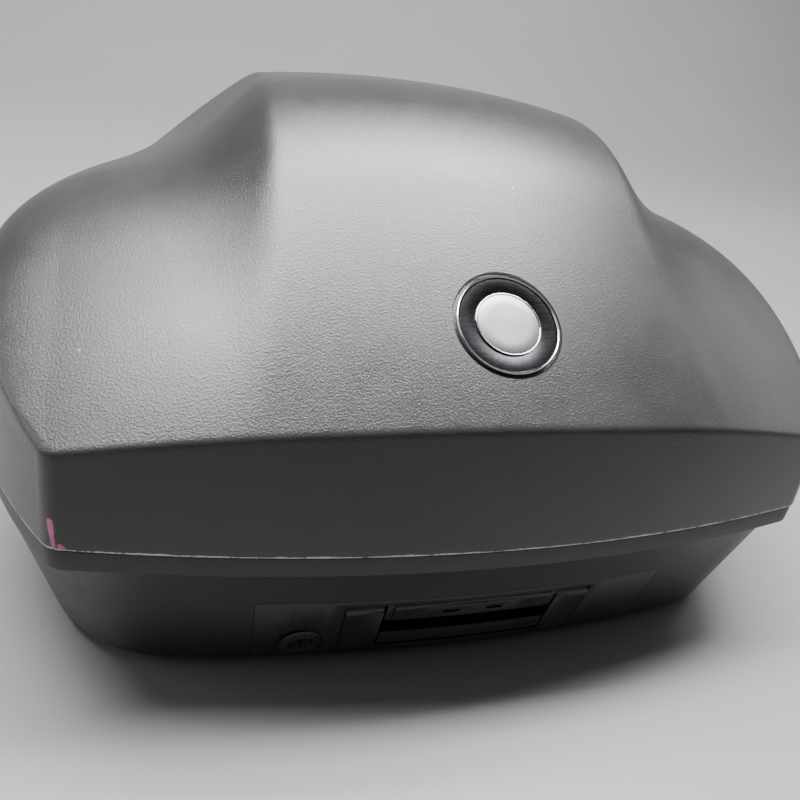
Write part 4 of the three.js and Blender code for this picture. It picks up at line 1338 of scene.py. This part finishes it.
def build_anchor(name, side):
    v0, v1 = STRAP_V - 17, STRAP_V + 17
    a, b = (182, 194) if side > 0 else (-194, -182)
    anchor = cut(block(a, b, v0, v1, 9.7, 15), block(a - 5, b + 5, v0 + 3, v1 - 3, 9, 12))
    rounded(anchor, 0.8, 3)
    finish_piece(
        anchor, f"strap_staple_{name}", "tray", TRIM_PLASTIC, [f"strap_anchor_{name}"]
    )


def build_rail(name, side):
    outer, top = CHANNEL_HALF - GAP, CHANNEL_Z - 2.2
    section = [(outer - 9, 4), (outer, 4), (outer, top), (outer - 2.2, top)]
    section += [(outer - 2.2, 6.2), (outer - 9, 6.2)]
    rail = prism(*([(side * x, V(v), z) for x, z in section] for v in (110, 340)))
    plated(rail, f"carrier_guide_{name}", "tray", f"carrier_rail_{name}", 0.35)


def build_inside():
    for name, side in (("left", -1), ("right", 1)):
        build_mat(name, side)
        build_anchor(name, side)
        build_rail(name, side)
    v0, v1 = STRAP_V - STRAP_WIDTH / 2, STRAP_V + STRAP_WIDTH / 2
    buckle = cut(
        block(18, 62, v0 - 4, v1 + 4, 18.8, 25),
        block(10, 70, v0 - 1, v1 + 1, 18, 21.5),
        block(26, 38, v0, v1, 15, 30),
    )
    rounded(buckle, 0.9, 3)
    finish_piece(buckle, "strap_slider", "tray", TRIM_PLASTIC, ["strap_buckle"])
    top = BASE_Z - GAP
    profile = [(0, 0), (7.6, 0), (8.4, 0.25), (9, 0.9), (9, top - 0.2), (8.8, top)]
    profile += [(3, top), (3, BASE_Z + 1.7), (2.7, BASE_Z + 2), (0, BASE_Z + 2)]
    for i, (x, v) in enumerate(FOOT_SPOTS):
        piece = turned(profile, 64, at(x, v, 0))
        finish_piece(piece, f"rubber_foot_{i + 1}", "tray", RUBBER, [f"foot_{i + 1}"])


build_lid()
build_tray()
build_seal()
build_panel()
build_tub()
build_handle()
build_lever()
build_badge()
build_hinges()
build_catches()
build_mechanism()
build_lock()
build_inside()
strap, strap_length = build_strap()


# ------------------------------------------------------------------- studio
WORLD_DIM = 0.015
WORLD_BRIGHT = 0.2
WORLD_SPAN = (-0.35, 0.6)  # heights between which the surroundings brighten
WORLD_TINT = (1.0, 0.99, 0.97, 1)
FLOOR_DARK, FLOOR_LIGHT = (0.2, 0.197, 0.191), (0.225, 0.222, 0.215)
CAMERA_PLACE = (-0.17339, -0.468, 0.35545)
CAMERA_TURN = (20.3, 28.03, 9.76)  # yaw, pitch and roll in degrees
SENSOR_WIDTH = 36
FOCAL_SHARE = 714.48 / 800  # focal length in sensor widths
LIGHTS = [
    ("overhead_strip", (-0.08, 0.1, 1.75), (-0.08, 0.1, 0.2), (2.2, 0.24), 128),
    ("left_panel", (-2.0, 0.3, 0.8), (0, 0, 0.15), (1.2, 1.2), 13),
    ("right_panel", (2.0, 0.3, 1.0), (0, 0, 0.15), (1.2, 1.2), 5),
    ("backdrop_wash", (0.6, 1.0, 3.4), (0.9, 3.2, 0.3), (5.0, 0.6), 400),
]
SWEEP_HALF = 9.0
SWEEP_FRONT = -6.0
SWEEP_BEND_Y = 1.8
SWEEP_RADIUS = 2.2
SWEEP_TOP = 7.0


def floor():
    """A pale floor that sweeps up into the backdrop."""
    turn = np.linspace(0, math.pi / 2, 33)
    line = [(SWEEP_FRONT, 0.0)]
    line += [
        (SWEEP_BEND_Y + SWEEP_RADIUS * math.sin(a), SWEEP_RADIUS * (1 - math.cos(a))) for a in turn
    ]
    line.append((SWEEP_BEND_Y + SWEEP_RADIUS, SWEEP_TOP))
    verts = [(x, y, z) for y, z in line for x in (-SWEEP_HALF, SWEEP_HALF)]
    faces = [(2 * i, 2 * i + 1, 2 * i + 3, 2 * i + 2) for i in range(len(line) - 1)]
    mesh = bpy.data.meshes.new("studio_floor")
    mesh.from_pydata(verts, [], faces)
    mesh.shade_smooth()
    obj = bpy.data.objects.new("studio_floor", mesh)
    bpy.context.scene.collection.objects.link(obj)
    material, t, surface = shader("pale_floor", IOR=1.4)
    tone = t.noise(1.5, 3.0)
    t.place(t.mix(tone, FLOOR_DARK, FLOOR_LIGHT), surface.inputs["Base Color"])
    t.place(t.ramp(tone, 0.3, 0.7, 0.3, 0.38), surface.inputs["Roughness"])
    mesh.materials.append(material)


def area_light(name, place, target, size, power):
    light = bpy.data.lights.new(name, "AREA")
    light.shape = "RECTANGLE"
    light.size, light.size_y = size
    light.energy = power
    obj = bpy.data.objects.new(name, light)
    obj.location = place
    obj.rotation_euler = (Vector(target) - Vector(place)).to_track_quat("-Z", "Y").to_euler()
    bpy.context.scene.collection.objects.link(obj)


def studio():
    floor()
    world = bpy.data.worlds.new("studio")
    world.use_nodes = True
    sky = Tree(world.node_tree, "Generated")
    strength = sky.ramp(sky.split()[2], *WORLD_SPAN, WORLD_DIM, WORLD_BRIGHT)
    back = world.node_tree.nodes["Background"]
    back.inputs["Color"].default_value = WORLD_TINT
    sky.place(strength, back.inputs["Strength"])
    bpy.context.scene.world = world
    for name, place, target, size, power in LIGHTS:
        area_light(name, place, target, size, power)


def camera():
    yaw, pitch, roll = (math.radians(a) for a in CAMERA_TURN)
    forward = Vector(
        (math.sin(yaw) * math.cos(pitch), math.cos(yaw) * math.cos(pitch), -math.sin(pitch))
    )
    right = forward.cross(Vector((0, 0, 1))).normalized()
    up = right.cross(forward)
    right, up = (
        math.cos(roll) * right + math.sin(roll) * up,
        -math.sin(roll) * right + math.cos(roll) * up,
    )
    data = bpy.data.cameras.new("camera")
    data.sensor_width = SENSOR_WIDTH
    data.lens = FOCAL_SHARE * SENSOR_WIDTH
    data.clip_end = 60
    obj = bpy.data.objects.new("camera", data)
    turn = Matrix((right, up, -forward)).transposed().to_4x4()
    obj.matrix_world = Matrix.Translation(CAMERA_PLACE) @ turn
    bpy.context.scene.collection.objects.link(obj)
    bpy.context.scene.camera = obj


studio()
camera()
